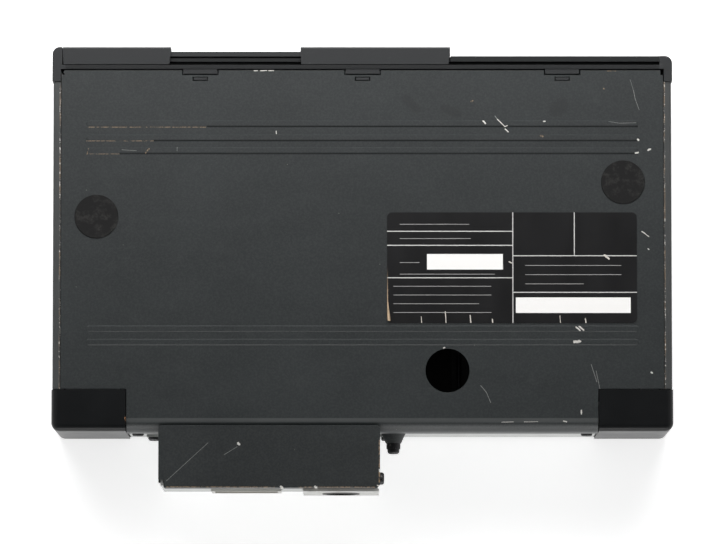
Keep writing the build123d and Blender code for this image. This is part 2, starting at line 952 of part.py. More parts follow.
def slot_surround():
    """Trim frame around the slot, with two blocks that wrap over the bezel's rail."""
    low = trim_bottom + surround_foot_gap
    high = rail_top + surround_rise
    frame = bar(surround_left, surround_right, surround_front, surround_back, low, high)
    lip = surround_lip
    frame -= bar(
        slot_left + lip, slot_right - lip, 0, surround_back + 1, slot_bottom - lip, slot_top + lip
    )
    blocks = []
    for left, right in block_spans:
        slant = block_slant
        outline = [
            (left, 0),
            (right, 0),
            (right + slant, block_back),
            (left - slant * 0.5, block_back),
        ]
        cap = plan_profile(outline, rail_top + gap, block_top)
        skirt = plan_profile(
            [(left, 0), (right, 0), (right, surround_back), (left, surround_back)],
            trim_height - block_skirt,
            block_top,
        )
        block = cap + skirt
        front_top = []
        for edge in block.edges().filter_by(Axis.X):
            centre = edge.center()
            if centre.Z > block_top - 0.01 and centre.Y < along(0.01):
                front_top.append(edge)
        block = fillet(front_top, block_round)
        blocks.append(block)
    for block in blocks:
        frame += block
    frame -= bar(
        slot_left + lip, slot_right - lip, -1, surround_back + 1, slot_bottom - lip, slot_top + lip
    )
    return frame


def shutter_leaf(left, front, top, grip):
    """One sliding leaf of the dust shutter, open at rest."""
    back = front + leaf_thickness
    leaf = bar(left, left - leaf_width, front, back, leaf_bottom, top)
    if grip:
        edge = left - grip_set_in
        low, high = grip_heights
        leaf += bar(edge, edge - grip_width, bezel_wall_front + gap, front + join, low, high)
        for index in range(3):
            x = edge - grip_width - 1.2 - index * 1.3
            leaf += bar(x, x - 0.5, front - 0.15, front + join, low, high)
    return leaf


def hole_seal(x, depth):
    """Rubber seal for a transit-screw hole: a thin disc with a spigot."""
    seal = post(x, depth, case_top, case_top + seal_thickness, seal_radius)
    seal = fillet(seal.edges().filter_by(GeomType.CIRCLE).sort_by(Axis.Z)[-1], 0.25)
    spigot_radius = seal_hole_radius - seal_spigot_fit
    seal += post(x, depth, case_top - seal_spigot, case_top + join, spigot_radius)
    return seal


def data_label():
    """Thin label plate, bare."""
    top = case_top + label_thickness
    return plate(label_left, label_right, label_front, label_back, case_top, top, label_corner)


def mounting_nut(side, depth):
    """Press nut behind a side fixing hole."""
    outer = side * (wall_x - sheet)
    inner = outer - side * mount_nut_length
    nut = rod_across(outer, inner, depth, mount_height, mount_nut_radius)
    return nut - rod_across(outer + side, inner - side, depth, mount_height, mount_bore_radius)


def suspension_dial(side):
    """Slotted dial that sets the suspension for the angle of installation."""
    face = side * (wall_x + dial_proud)
    inner = side * (wall_x - sheet - gap)
    dial = rod_across(face, inner, dial_depth, dial_height, dial_radius)
    dial += rod_across(
        inner,
        inner - side * dial_flange_thickness,
        dial_depth,
        dial_height,
        dial_radius + dial_flange,
    )
    half = dial_slot_half
    groove = bar(
        face + side,
        face - side * half,
        dial_depth - half,
        dial_depth + half,
        dial_height - dial_slot_reach,
        dial_height + dial_slot_reach,
    )
    return dial - groove


# ---------------------------------------------------------------- interface box
def interface_box():
    """Open-fronted sheet box on the rear panel, with socket cut-outs."""
    left = box_left - cover_sheet - fit_gap
    right = box_right + cover_sheet + fit_gap
    front = rear_panel_front + sheet
    clear_front = cover_back + line_gap
    back = box_back - cover_sheet - fit_gap
    top = ledge_top
    box = bar(left, right, clear_front, back, box_bottom, top)
    box -= bar(left - sheet, right + sheet, front - 1, back - sheet, box_bottom + sheet, top + 1)
    low, high = box_flange_low, box_flange_top
    for outer, wall, way in ((box_left, left, 1), (box_right, right, -1)):
        box += bar(wall - way * sheet, wall, front, clear_front + join, low, high)
        flange_end = outer + way * box_flange_width
        box += bar(wall - way * sheet, flange_end, front, front + sheet, low, high)
    for x in box_flange_centres():
        for z in box_flange_heights:
            box -= rod_back(x, front - 1, front + 2, z, screw_hole_radius)
    reach = round_socket_radius + round_socket_wall + line_gap
    box -= rod_back(round_socket_x, back - 2, back + 1, round_socket_z, reach)
    half_w = power_socket_width / 2 + socket_wall + line_gap
    half_h = power_socket_height / 2 + socket_wall + line_gap
    box -= bar(
        power_socket_x - half_w,
        power_socket_x + half_w,
        back - 2,
        back + 1,
        power_socket_z - half_h,
        power_socket_z + half_h,
    )
    return box


def interface_lid():
    """Lid of the interface box: a flat top with three short skirts."""
    under = cover_under
    lid = plate(box_left, box_right, box_front, box_back, under, case_top, lid_corner)
    low = under - lid_skirt
    high = under + join
    side_front = cover_back + lid_side_gap
    side_back = box_back - lid_notch_width
    lid += bar(box_left, box_left - cover_sheet, side_front, side_back, low, high)
    lid += bar(box_right, box_right + cover_sheet, side_front, side_back, low, high)
    inset = lid_notch_width + line_gap
    lid += bar(box_left - inset, box_right + inset, box_back - cover_sheet, box_back, low, high)
    lid -= bar(
        box_left + 1,
        box_left - lid_notch_width,
        box_back - lid_notch_depth,
        box_back + 1,
        under - 1,
        case_top + 1,
    )
    return lid


def round_socket():
    """Round multi-way socket with its rear flange plate."""
    half, rise = socket_plate_half, socket_plate_rise
    face = box_back + socket_plate_thickness
    socket = bar(
        round_socket_x - half,
        round_socket_x + half,
        box_back,
        face,
        round_socket_z - rise,
        round_socket_z + rise,
    )
    socket = fillet(socket.edges().filter_by(Axis.Y), 1.5)
    outer = round_socket_radius + round_socket_wall
    start = overall_depth - socket_depth - socket_wall
    socket += rod_back(round_socket_x, start, overall_depth, round_socket_z, outer)
    socket -= rod_back(
        round_socket_x, overall_depth - socket_depth, overall_depth + 1, round_socket_z, round_socket_radius
    )
    return socket


def power_socket():
    """Rectangular power socket."""
    half_w = power_socket_width / 2
    half_h = power_socket_height / 2
    x, z = power_socket_x, power_socket_z
    back = box_back + power_socket_proud
    start = back - socket_depth - socket_wall
    wall = socket_wall
    rim = power_socket_rim
    socket = bar(x - half_w - wall, x + half_w + wall, start, back, z - half_h - wall, z + half_h + wall)
    socket -= bar(x - half_w, x + half_w, start + wall, back + 1, z - half_h, z + half_h)
    socket += bar(
        x - half_w - rim,
        x + half_w + rim,
        back - power_socket_rim_depth,
        box_back - cover_sheet - fit_gap - sheet,
        z - half_h - rim,
        z + half_h + rim,
    ) - bar(x - half_w, x + half_w, start, back + 1, z - half_h, z + half_h)
    return socket


def socket_pins():
    """Contact pins in both sockets."""
    pins = []
    start = overall_depth - socket_depth
    for index in range(8):
        angle = math.radians(index * 45)
        x = round_socket_x + pin_circle * math.cos(angle)
        z = round_socket_z + pin_circle * math.sin(angle)
        pins.append(rod_back(x, start, start + pin_length, z, pin_radius))
    start = box_back + power_socket_proud - socket_depth
    for column in range(6):
        for row in (-1, 1):
            x = power_socket_x + (column - 2.5) * pin_pitch
            z = power_socket_z + row * pin_row_offset
            pins.append(rod_back(x, start, start + pin_length, z, pin_radius))
    return pins


def interface_board():
    """Circuit board in the interface box, carrying the two sockets."""
    left = box_left - cover_sheet - sheet - interface_board_end_gap
    right = box_right + cover_sheet + sheet + interface_board_end_gap
    low = box_bottom + sheet + line_gap
    high = cover_under - interface_board_drop
    front = interface_board_front
    board = bar(left, right, front, front + board_thickness, low, high)
    for inset, z, width, height in interface_chips:
        x = left - inset
        z += low if z > 0 else high
        half_w, half_h = width / 2, height / 2
        board += bar(x - half_w, x + half_w, front - chip_height, front + join, z - half_h, z + half_h)
    back = front + board_thickness - join
    x, z = power_socket_x, power_socket_z
    power_start = box_back + power_socket_proud - socket_depth - socket_wall
    board += bar(x - 9, x + 9, back, power_start, z - 4, z + 4)
    x, z = round_socket_x, round_socket_z
    round_start = overall_depth - socket_depth - socket_wall
    board += bar(x - 4, x + 4, back, round_start, z - 4, z + 4)
    return board


def rear_boss():
    """Tapered screw boss on the rear panel."""
    start = rear_panel_front + sheet
    end = start + boss_length
    cone = Cone(boss_base_radius, boss_tip_radius, boss_length)
    turned = Pos(boss_x, along((start + end) / 2), boss_height) * Rot(-90, 0, 0) * cone
    return turned - rod_back(boss_x, start - 1, end + 1, boss_height, boss_bore_radius)


def rear_boss_washer():
    """Plain washer under the rear screw."""
    start = rear_panel_front + sheet + boss_length
    end = start + washer_thickness
    ring = rod_back(boss_x, start, end, boss_height, washer_radius)
    return ring - rod_back(boss_x, start - 1, end + 1, boss_height, boss_bore_radius)


def rear_boss_screw():
    """Screw in the rear boss."""
    head = screw_head(2.5, 2.1, 1.4)
    seat = rear_panel_front + sheet + boss_length + washer_thickness
    placed = Pos(boss_x, along(seat), boss_height) * Rot(-90, 0, 0) * head
    start = rear_panel_front - screw_reach
    return placed + rod_back(boss_x, start, seat + line_gap, boss_height, boss_thread_radius)


def case_screws():
    """Loose screw group: lid side screw, flange screws and cap screws."""
    screws = []
    head = screw_head(2.55, 1.7, 1.4)
    side_depth = along(box_back - side_screw_from_back)
    side = Pos(box_right, side_depth, case_top - side_screw_drop) * Rot(0, -90, 0) * head
    screws.append(side)
    small = screw_head(2.4, 1.2, 1.3)
    face = rear_panel_front + 2 * sheet
    for x in box_flange_centres():
        for z in box_flange_heights:
            placed = Pos(x, along(face), z) * Rot(-90, 0, 0) * small
            screws.append(placed + rod_back(x, face - 2.9, face + 0.2, z, flange_thread_radius))
    face = rear_panel_front + sheet
    for way in (1, -1):
        x, z = way * cap_screw_x, cap_screw_height
        placed = Pos(x, along(face), z) * Rot(-90, 0, 0) * small
        screws.append(placed + rod_back(x, face - screw_reach, face + 0.2, z, cap_thread_radius))
    return screws


# ---------------------------------------------------------------- boards and deck
def main_board():
    """Main circuit board on the floor under the magazine."""
    low = board_bottom
    high = low + board_thickness
    board = bar(board_left, board_right, board_front, board_back, low, high)
    for x, d, width, length, height in main_chips:
        half_w, half_l = width / 2, length / 2
        board += bar(x - half_w, x + half_w, d - half_l, d + half_l, high - join, high + height)
    return board


def link_cable():
    """Flat cable from the main board to the interface board."""
    low = board_bottom + board_thickness + fit_gap
    thin = cable_thickness
    right, left = cable_x, cable_x + cable_width
    run_back = rear_panel_front - line_gap
    cable = bar(left, right, board_back - 6, run_back, low, low + thin)
    cable += bar(left, right, run_back - thin, run_back, low, cable_height)
    cable += bar(
        left, right, run_back - thin, interface_board_front, cable_height - thin, cable_height
    )
    return cable


def mechanism_deck():
    """Sheet deck that carries the magazine holder and the play bay."""
    deck = bar(-deck_half_width, deck_half_width, deck_front, deck_back, deck_bottom, deck_top)
    deck -= bar(bay_left, bay_right, deck_front - 1, bay_back, deck_bottom - 1, deck_top + 1)
    front_zone = unit_front + cam_bay_reach
    rear_zone = unit_back - cam_bay_reach
    deck -= bar(bay_left, bay_cam_right, deck_front - 1, front_zone, deck_bottom - 1, deck_top + 1)
    deck -= bar(bay_left, bay_cam_right, rear_zone, bay_back, deck_bottom - 1, deck_top + 1)
    for x, d in light_holes:
        deck -= post(x, d, deck_bottom - 1, deck_top + 1, light_hole_radius)
    return deck


def damper(x, depth):
    """Waisted rubber damper between the floor and the deck."""
    base = floor_top + damper_stud_height
    tall = deck_bottom - base
    body = post(x, depth, base, deck_bottom, damper_radius)
    waist = Pos(x, along(depth), base + tall / 2) * Torus(damper_radius + 0.9, damper_waist)
    return body - waist


def magazine_holder():
    """Folded sheet holder: floor with runners, side wall, rear stop and top strap."""
    wall_out = magazine_left + holder_side_gap + holder_sheet
    top = strap_top
    front = deck_front + holder_front_gap
    back = magazine_back + holder_stop_gap
    rear_end = back + holder_sheet
    holder = bar(magazine_right - line_gap, wall_out, front, back, deck_top, holder_floor_top)
    for inset in runner_insets:
        x = magazine_left - inset
        holder += bar(
            x - runner_half,
            x + runner_half,
            deck_front + 2,
            back - 2,
            holder_floor_top - join,
            holder_floor_top + runner_height,
        )
    holder += bar(wall_out - holder_sheet, wall_out, front, back, deck_top, top)
    holder += bar(magazine_right + stop_inset, wall_out, back, rear_end, deck_top, top)
    holder += bar(strap_right, wall_out, strap_front, strap_back, strap_bottom, top)
    holder += bar(magazine_left - strap_leg, wall_out, strap_back - 1, rear_end, strap_bottom, top)
    for x, d in light_holes:
        holder -= post(x, d, deck_top - 1, holder_floor_top + 1, light_hole_radius)
    holder -= bar(
        lever_peg_x - peg_swing,
        lever_peg_x + 4,
        lever_peg_depth - lever_peg_boss - 1.2,
        strap_back + 1,
        strap_bottom - 1,
        top + 1,
    )
    return holder + lever_pin()


# ---------------------------------------------------------------- lifting cams
def lift_bracket(depth, rear):
    """Upright guide plate with two vertical slots, feet on the deck."""
    front, back = depth, depth + cam_sheet
    bracket = bar(bracket_left, bracket_right, front, back, cam_bottom + line_gap, cam_top)
    slot_half = lift_pin_radius + running
    low = lift_pin_height
    high = lift_pin_height + lift
    for x in lift_pin_spots:
        bracket -= bar(x - slot_half, x + slot_half, front - 1, back + 1, low, high)
        bracket -= rod_back(x, front - 1, back + 1, low, slot_half)
        bracket -= rod_back(x, front - 1, back + 1, high, slot_half)
    below = deck_top
    bracket -= bar(bracket_left + 1, bay_left - 0.5, front - 1, back + 1, 0, below)
    bracket -= bar(bay_cam_right + 0.5, bracket_right - 1, front - 1, back + 1, 0, below)
    stud_reach = gap + cam_sheet + fit_gap
    stud_front = front - stud_reach if rear else back - join
    stud_back = front + join if rear else back + stud_reach
    for x in cam_guide_studs:
        bracket += rod_back(x, stud_front, stud_back, cam_guide_height, lift_pin_radius)
    if rear:
        for left, right in ((bracket_left, bay_left + 0.5), (bay_cam_right - 0.4, bracket_right)):
            bracket += bar(left, right, back - join, bay_back + 4, deck_top, deck_top + cam_sheet)
        half = motor_ear_half
        bracket += bar(pinion_x - half, pinion_x + half, front, back, cam_top - 1, pinion_z + 5)
        bracket -= rod_back(pinion_x, front - 1, back + 1, pinion_z, motor_hole_radius)
    else:
        for left, right in ((bracket_left, bay_left + 0.4), (bay_cam_right - 0.4, bracket_right)):
            bracket += bar(left, right, front, tray_front - 0.4, deck_top, deck_top + cam_sheet)
        key_right = key_centre - key_half_width
        bracket -= bar(
            bracket_left + 1, key_right - key_clearance, front - 1, back + 1, key_bottom - 1, cam_top + 1
        )
    return bracket


def cam_slide(depth, rack):
    """Cam plate with two slanted slots that lift the play unit as it slides."""
    front, back = depth, depth + cam_sheet
    first, last = lift_pin_spots
    left = first + cam_margin
    right = last - lift - cam_margin
    cam = bar(left, right, front, back, cam_bottom, cam_top)
    reach = lift_pin_radius + running
    for x in lift_pin_spots:
        path = [
            (x, lift_pin_height),
            (x - lift, lift_pin_height + lift),
        ]
        side = reach / math.sqrt(2)
        outline = [
            (path[0][0] + side, path[0][1] + side),
            (path[0][0] - side, path[0][1] - side),
            (path[1][0] - side, path[1][1] - side),
            (path[1][0] + side, path[1][1] + side),
        ]
        cam -= front_profile(outline, front - 1, back + 1)
        for px, pz in path:
            cam -= rod_back(px, front - 1, back + 1, pz, reach)
    guide_left, guide_right = cam_guide_studs
    cam -= bar(
        guide_left,
        guide_right - lift,
        front - 1,
        back + 1,
        cam_guide_height - reach,
        cam_guide_height + reach,
    )
    cam -= rod_back(guide_left, front - 1, back + 1, cam_guide_height, reach)
    cam -= rod_back(guide_right - lift, front - 1, back + 1, cam_guide_height, reach)
    if rack:
        cam += rack_teeth(left, right, front, back)
    else:
        corner = left + lift - (key_centre - key_half_width) + key_clearance
        cam -= bar(left + 1, left - corner, front - 1, back + 1, key_bottom - 1, cam_top + 1)
    return cam


def rack_teeth(left, right, front, back):
    """Straight-flanked teeth along the top of the rear cam, in phase with the pinion."""
    pitch = math.pi * gear_module
    half = pitch * tooth_share / 2
    lean = math.tan(math.radians(20))
    root = rack_pitch_height - gear_module
    tip = rack_pitch_height + 0.7 * gear_module
    teeth = []
    end_space = half + 0.4
    first = math.ceil((right + end_space - pinion_x) / pitch - 0.5)
    last = math.floor((left - end_space - pinion_x) / pitch - 0.5)
    for index in range(first, last + 1):
        x = pinion_x + (index + 0.5) * pitch
        low = half + gear_module * lean
        high = half - 0.7 * gear_module * lean
        foot = root - join
        outline = [(x - low, foot), (x + low, foot), (x + high, tip), (x - high, tip)]
        teeth.append(front_profile(outline, front, back))
    return teeth


def lift_pinion():
    """Pinion that drives the rear cam's rack."""
    pitch_angle = 2 * math.pi / pinion_teeth
    root = pinion_pitch_radius - 1.25 * gear_module
    tip = pinion_pitch_radius + 0.7 * gear_module
    half_pitch = pitch_angle * tooth_share / 2
    half_root = half_pitch * 1.25
    half_tip = half_pitch * 0.55
    points = []
    for index in range(pinion_teeth):
        middle = -math.pi / 2 + index * pitch_angle
        for angle, radius in (
            (-half_root, root),
            (-half_pitch, pinion_pitch_radius),
            (-half_tip, tip),
            (half_tip, tip),
            (half_pitch, pinion_pitch_radius),
            (half_root, root),
        ):
            turn = middle + angle
            points.append((pinion_x + radius * math.cos(turn), pinion_z + radius * math.sin(turn)))
    pinion_front = cam_rear_depth - line_gap
    pinion = front_profile(points, pinion_front, cam_rear_depth + cam_sheet + fit_gap)
    shaft_end = bracket_rear_depth + cam_sheet + motor_shaft_grip
    return pinion + rod_back(pinion_x, pinion_front, shaft_end, pinion_z, shaft_radius)


def lift_motor():
    """Flat motor behind the rear bracket that turns the pinion."""
    front = bracket_rear_depth + cam_sheet
    motor = rod_back(pinion_x, front, front + lift_motor_length, pinion_z, lift_motor_radius)
    bore_end = front + motor_shaft_grip + gap
    motor -= rod_back(pinion_x, front - 1, bore_end, pinion_z, shaft_radius + running)
    return motor


# ---------------------------------------------------------------- play unit
def unit_plate_shape():
    """Play unit's sheet base with down-turned flanges and lifting pins."""
    low = unit_plate_bottom
    high = low + unit_plate
    front_edge = unit_front - unit_plate
    rear_edge = unit_back + unit_plate
    flange_left = lift_pin_spots[0] + flange_beyond_pin
    flange_right = lift_pin_spots[1] - flange_beyond_pin
    base = bar(unit_left, unit_right, front_edge, rear_edge, low, high)
    for d0, d1 in ((front_edge, unit_front), (unit_back, rear_edge)):
        base += bar(flange_left, flange_right, d0, d1, unit_flange_bottom, low + join)
    for x in lift_pin_spots:
        pin_front = bracket_front_depth - fit_gap
        pin_back = bracket_rear_depth + cam_sheet + fit_gap
        base += rod_back(x, pin_front, front_edge + join, lift_pin_height, lift_pin_radius)
        base += rod_back(x, rear_edge - join, pin_back, lift_pin_height, lift_pin_radius)
    sled_first, sled_last = sled_window()
    window = sled_half_width + 1.0
    base -= bar(play_x - window, play_x + window, sled_first, sled_last, low - 3, high + 1)
    screw_x = play_x + screw_offset
    motor_start = sled_first - motor_set_back - sled_motor_length
    base -= bar(screw_x - 3.0, screw_x + 3.0, motor_start - 0.6, sled_last, low - join, high + 1)
    base -= bar(play_x + window - 1, screw_x, sled_first, sled_last, low - join, high + 1)
    base -= post(play_x, disc_depth, low - 1, high + 1, shaft_radius + 1.0)
    half = unit_window_width / 2
    window_back = disc_depth - unit_window_from_disc
    window_front = window_back - unit_window_length
    for x in (unit_left - unit_window_inset, unit_right + unit_window_inset):
        base -= bar(x - half, x + half, window_front, window_back, low - 1, high + 1)
    for x in (play_x - rod_offset, play_x + rod_offset):
        for d in (sled_first - rod_ear, sled_last):
            base += bar(x - 2, x + 2, d, d + rod_ear, ear_bottom, low + join)
    base += bar(screw_x - 2, screw_x + 2, sled_last, sled_last + rod_ear, ear_bottom, low + join)
    for x in (play_x - rod_offset, play_x + rod_offset):
        base -= rod_back(
            x, sled_first - rod_ear - 1, sled_last + rod_ear + 1, rod_height, rod_radius + rod_fit
        )
    base -= rod_back(
        screw_x, sled_last - 1, sled_last + rod_ear + 1, screw_height, screw_radius + running
    )
    return base


def sled_window():
    """First and last depth of the opening that the sled runs in."""
    lens = disc_depth + sled_start
    reach = sled_length / 2 + sled_end_gap
    return lens - reach, lens + sled_travel + reach


def guide_rods():
    """Two steel rods that carry the pickup sled."""
    sled_first, sled_last = sled_window()
    rods = []
    for x in (play_x - rod_offset, play_x + rod_offset):
        rods.append(rod_back(x, sled_first - rod_ear, sled_last + rod_ear, rod_height, rod_radius))
    return rods


def pickup_sled():
    """Optical pickup on its sled, with rod bores, lens block and drive fork."""
    lens_depth = disc_depth + sled_start
    first, last = lens_depth - sled_length / 2, lens_depth + sled_length / 2
    sled = bar(
        play_x - sled_half_width,
        play_x + sled_half_width,
        first,
        last,
        rod_height - sled_below_rods,
        rod_height + sled_above_rods,
    )
    for x in (play_x - rod_offset, play_x + rod_offset):
        sled -= rod_back(x, first - 1, last + 1, rod_height, rod_radius + running)
    block_top_z = rod_height + lens_block_top
    block_front, block_rear = lens_depth - lens_block_half, lens_depth + lens_block_half
    sled += bar(play_x - 9, play_x + 9, block_front, block_rear, rod_height + 2, block_top_z)
    sled += post(play_x, lens_depth, block_top_z - join, block_top_z + lens_rise, lens_radius)
    screw_x = play_x + screw_offset
    fork_low = rod_height + screw_radius + gap
    sled += bar(
        play_x + sled_half_width - 0.5,
        screw_x + 1.0,
        lens_depth - fork_half,
        lens_depth + fork_half,
        fork_low,
        fork_low + fork_thickness,
    )
    return sled


def lead_screw():
    """Screw that feeds the sled."""
    first, last = sled_window()
    x = play_x + screw_offset
    start = first - motor_set_back - screw_in_motor
    screw = rod_back(x, start, last + rod_ear, screw_height, screw_radius)
    flat = bar(x - 1.2, x + 1.2, last + gap, last + 3, rod_height + 0.6, rod_height + 2)
    return screw - flat


def sled_motor():
    """Small motor at the end of the lead screw, with its end bracket."""
    first = sled_window()[0]
    x = play_x + screw_offset
    back = first - motor_set_back
    motor = rod_back(x, back - sled_motor_length, back, screw_height, sled_motor_radius)
    half = sled_motor_ear_half
    motor += bar(x - half, x + half, back - 1.4, back, rod_height - 2.0, unit_plate_bottom)
    bore_start = back - screw_in_motor - 1.0
    motor -= rod_back(x, bore_start, back + 1, screw_height, screw_radius + running)
    return motor


def spindle_motor():
    """Flat spindle motor under the play unit's plate."""
    bottom = unit_flange_bottom - spindle_motor_drop
    motor = post(play_x, disc_depth, bottom, unit_plate_bottom, spindle_motor_radius)
    bore_bottom = bottom + spindle_motor_floor
    bore = post(play_x, disc_depth, bore_bottom, unit_plate_bottom + 1, shaft_radius + running)
    return motor - bore


def turntable():
    """Turntable with a self-chucking hub and its shaft."""
    under = turntable_seat - turntable_flange
    hub_radius = disc_bore - hub_clearance
    table = post(play_x, disc_depth, under, turntable_seat, turntable_radius)
    table += post(play_x, disc_depth, turntable_seat - join, turntable_seat + hub_height, hub_radius)
    hub_edge = table.edges().filter_by(GeomType.CIRCLE).sort_by(Axis.Z)[-1]
    table = chamfer(hub_edge, 0.6)
    for index in range(3):
        angle = index * 120
        claw = Pos(disc_bore - 0.6, 0, turntable_seat + 1.2) * Box(0.6, 1.6, 0.5)
        table += Pos(play_x, along(disc_depth), 0) * Rot(0, 0, angle) * claw
    shaft_bottom = unit_flange_bottom - spindle_motor_drop + spindle_motor_floor + line_gap
    table += post(play_x, disc_depth, shaft_bottom, under + join, shaft_radius)
    return table


# ---------------------------------------------------------------- magazine
def magazine_case():
    """Magazine body: floor, ribbed front and rear walls, closed outer side."""
    left, right = magazine_left, magazine_right
    low = magazine_bottom
    high = magazine_top - magazine_wall
    case = bar(left, right, case_front, magazine_back, low, low + magazine_wall)
    case += bar(left, right, case_front, case_front + magazine_wall, low, high)
    case += bar(left, right, magazine_back - magazine_wall, magazine_back, low, high)
    case += bar(left, left - magazine_wall, case_front, magazine_back, low, high)
    inner_front = case_front + magazine_wall
    inner_back = magazine_back - magazine_wall
    for index in range(1, tray_count):
        top = tray_base + index * tray_pitch - rib_step
        case += bar(left - 1, right, inner_front - join, inner_front + rib_width, top - rib_height, top)
        case += bar(left - 1, right, inner_back - rib_width, inner_back + join, top - rib_height, top)
    return case


def magazine_lid():
    """Magazine top plate with a lever groove and a round recess."""
    low = magazine_top - magazine_wall
    lid = bar(magazine_left, magazine_right, case_front, magazine_back, low, magazine_top)
    path_left = lever_peg_x + lever_peg_radius + 2.5
    path_front = lever_peg_depth - lever_peg_radius - 2.5
    path_bottom = magazine_top - lid_groove_depth
    above = magazine_top + 1
    lid -= bar(path_left, magazine_right - 1, path_front, magazine_back + 1, path_bottom, above)
    lid -= post(disc_x, disc_depth, magazine_top - lid_recess_depth, above, lid_recess_radius)
    return lid


def magazine_handle():
    """Front face of the magazine, with a finger pocket."""
    low, high = magazine_bottom, magazine_top
    handle = bar(magazine_left, magazine_right, magazine_front, case_front, low, high)
    handle = fillet(
        handle.edges().filter_by(Axis.Y) + handle.edges().filter_by(Axis.Z).sort_by(Axis.Y)[:2],
        handle_corner,
    )
    middle = (low + high) / 2
    left = magazine_left - finger_pocket_left
    right = left - finger_pocket_width
    pocket_back = magazine_front + finger_pocket_depth
    pocket = bar(left, right, magazine_front - 1, pocket_back, middle - 9, middle + 6)
    pocket = fillet(pocket.edges().filter_by(Axis.Y), 3)
    handle -= pocket
    for index in range(4):
        z = middle - 7.2 + index * 1.6
        handle += bar(left - 4, right + 4, pocket_back - 0.6, pocket_back + join, z, z + 0.7)
    window = magazine_right + 21.2
    handle -= bar(window, window + 8, magazine_front - 1, magazine_front + 0.4, middle - 2, middle + 2)
    return handle


def disc_tray(index):
    """Sliding tray with a disc well and a cut-out for the play unit."""
    base = tray_base + index * tray_pitch
    top = base + tray_height
    thick_front = tray_front + tray_flange_width
    thick_back = tray_back - tray_flange_width
    tray = bar(tray_left, tray_right, tray_front, tray_back, base, base + tray_flange)
    tray += bar(tray_left, tray_right, thick_front, thick_back, base, top)
    tray -= post(disc_x, disc_depth, base + well_floor, top + 1, disc_radius + disc_well_gap)
    tray -= post(disc_x, disc_depth, base - 1, top + 1, tray_cut_radius)
    tray -= bar(
        disc_x - tray_cut_radius,
        disc_x + tray_cut_radius,
        disc_depth,
        disc_depth + disc_radius + tray_cut_beyond,
        base - 1,
        top + 1,
    )
    notch_front = disc_depth - tray_notch_half
    notch_back = disc_depth + tray_notch_half
    for end, way in ((tray_left, 1), (tray_right, -1)):
        inner = end - way * tray_notch_depth
        tray -= bar(inner, end + way, notch_front, notch_back, base - 1, top + 1)
    return tray


def disc(index):
    """One disc in its tray."""
    base = tray_base + index * tray_pitch + well_floor
    body = post(disc_x, disc_depth, base, base + disc_thickness, disc_radius)
    body -= post(disc_x, disc_depth, base - 1, base + 2, disc_bore)
    return body


# ---------------------------------------------------------------- eject key
def eject_button():
    """Push key beside the magazine with a cranked stem to the lever."""
    left = key_centre + key_half_width
    right = key_centre - key_half_width
    button = bar(left, right, key_front, escutcheon_back + line_gap, key_bottom, key_top)
    button = fillet(button.faces().sort_by(Axis.Y)[0].edges(), 0.5)
    stem_low = cam_top + gap + line_gap
    stem_back = lever_pivot_depth - lever_arm
    stem_left, stem_right = key_centre + key_stem_half, key_centre - key_stem_half
    button += bar(stem_left, stem_right, escutcheon_back, stem_back, stem_low, key_top - 0.4)
    button += bar(stem_left, stem_right, stem_back - 2.4, stem_back, stem_low, lever_top)
    return button


def eject_lever():
    """Flat bell crank between the key and the magazine."""
    x, d = lever_pivot_x, lever_pivot_depth
    low, high = lever_bottom, lever_top
    lever = post(x, d, low, high, lever_hub_radius)
    face = d - lever_arm + key_free_play
    front_arm = [
        (x - 3.6, d),
        (x + 1, d - 3.9),
        (x + 6, face),
        (x + 13, face),
        (x + 13, face + 3),
        (x + 2, d + 3),
    ]
    lever += plan_profile(front_arm, low, high)
    peg_x, peg_d = lever_peg_x, lever_peg_depth
    rear_arm = [(x - 2, d + 3), (x + 3, d), (peg_x + 2, peg_d + 0.4), (peg_x - 2, peg_d + 1.9)]
    lever += plan_profile(rear_arm, low, high)
    lever += post(peg_x, peg_d, low, high, lever_peg_boss)
    lever += post(peg_x, peg_d, magazine_top - lid_recess_depth, low + join, lever_peg_radius)
    lever -= post(x, d, low - 1, high + 1, lever_pin_radius + running)
    return lever


def lever_pin():
    """Headed pivot pin of the lever, riveted to the holder's strap."""
    x, d = lever_pivot_x, lever_pivot_depth
    neck = lever_top + pin_neck
    pin = post(x, d, strap_top - join, neck + join, lever_pin_radius)
    pin += post(x, d, neck, neck + pin_head, pin_head_radius)
    return pin


def lever_spring():
    """Coil round the pivot pin that returns the lever."""
    low = lever_top + line_gap
    high = lever_top + pin_neck - fit_gap
    return coil(
        lever_pivot_x, lever_pivot_depth, low, high, lever_spring_radius, lever_spring_wire, 3
    )


# ---------------------------------------------------------------- write the nodes
os.makedirs("parts", exist_ok=True)

write("chassis_tray", chassis_tray())
write("top_cover", top_cover())
write("rear_panel", rear_panel())
write("corner_cap_left", corner_cap(1))
write("corner_cap_right", corner_cap(-1))
write("front_bezel", front_bezel())
write("slot_surround", slot_surround())
write("shutter_leaf_front", shutter_leaf(front_leaf_left, front_leaf_front, front_leaf_top, True))
write("shutter_leaf_rear", shutter_leaf(rear_leaf_left, rear_leaf_front, rear_leaf_top, False))
write("hole_seals", [hole_seal(x, d) for x, d in seal_spots])
write("data_label", data_label())
write("mounting_nuts", [mounting_nut(side, d) for side in (1, -1) for d in mount_depths])
write("suspension_dial_left", suspension_dial(1))
write("suspension_dial_right", suspension_dial(-1))
write("interface_box", interface_box())
write("interface_lid", interface_lid())
write("interface_board", interface_board())
write("round_socket", round_socket())
write("power_socket", power_socket())
write("socket_pins", socket_pins())
write("rear_boss", rear_boss())
write("rear_boss_screw", [rear_boss_washer(), rear_boss_screw()])
write("case_screws", case_screws())
write("main_board", main_board())
write("link_cable", link_cable())
write("mechanism_deck", mechanism_deck())
write("deck_dampers", [damper(x, d) for x, d in damper_spots])
write(
    "deck_springs",
    [coil(x, d, floor_top, deck_bottom, spring_radius, spring_wire, spring_turns) for x, d in spring_spots],
)
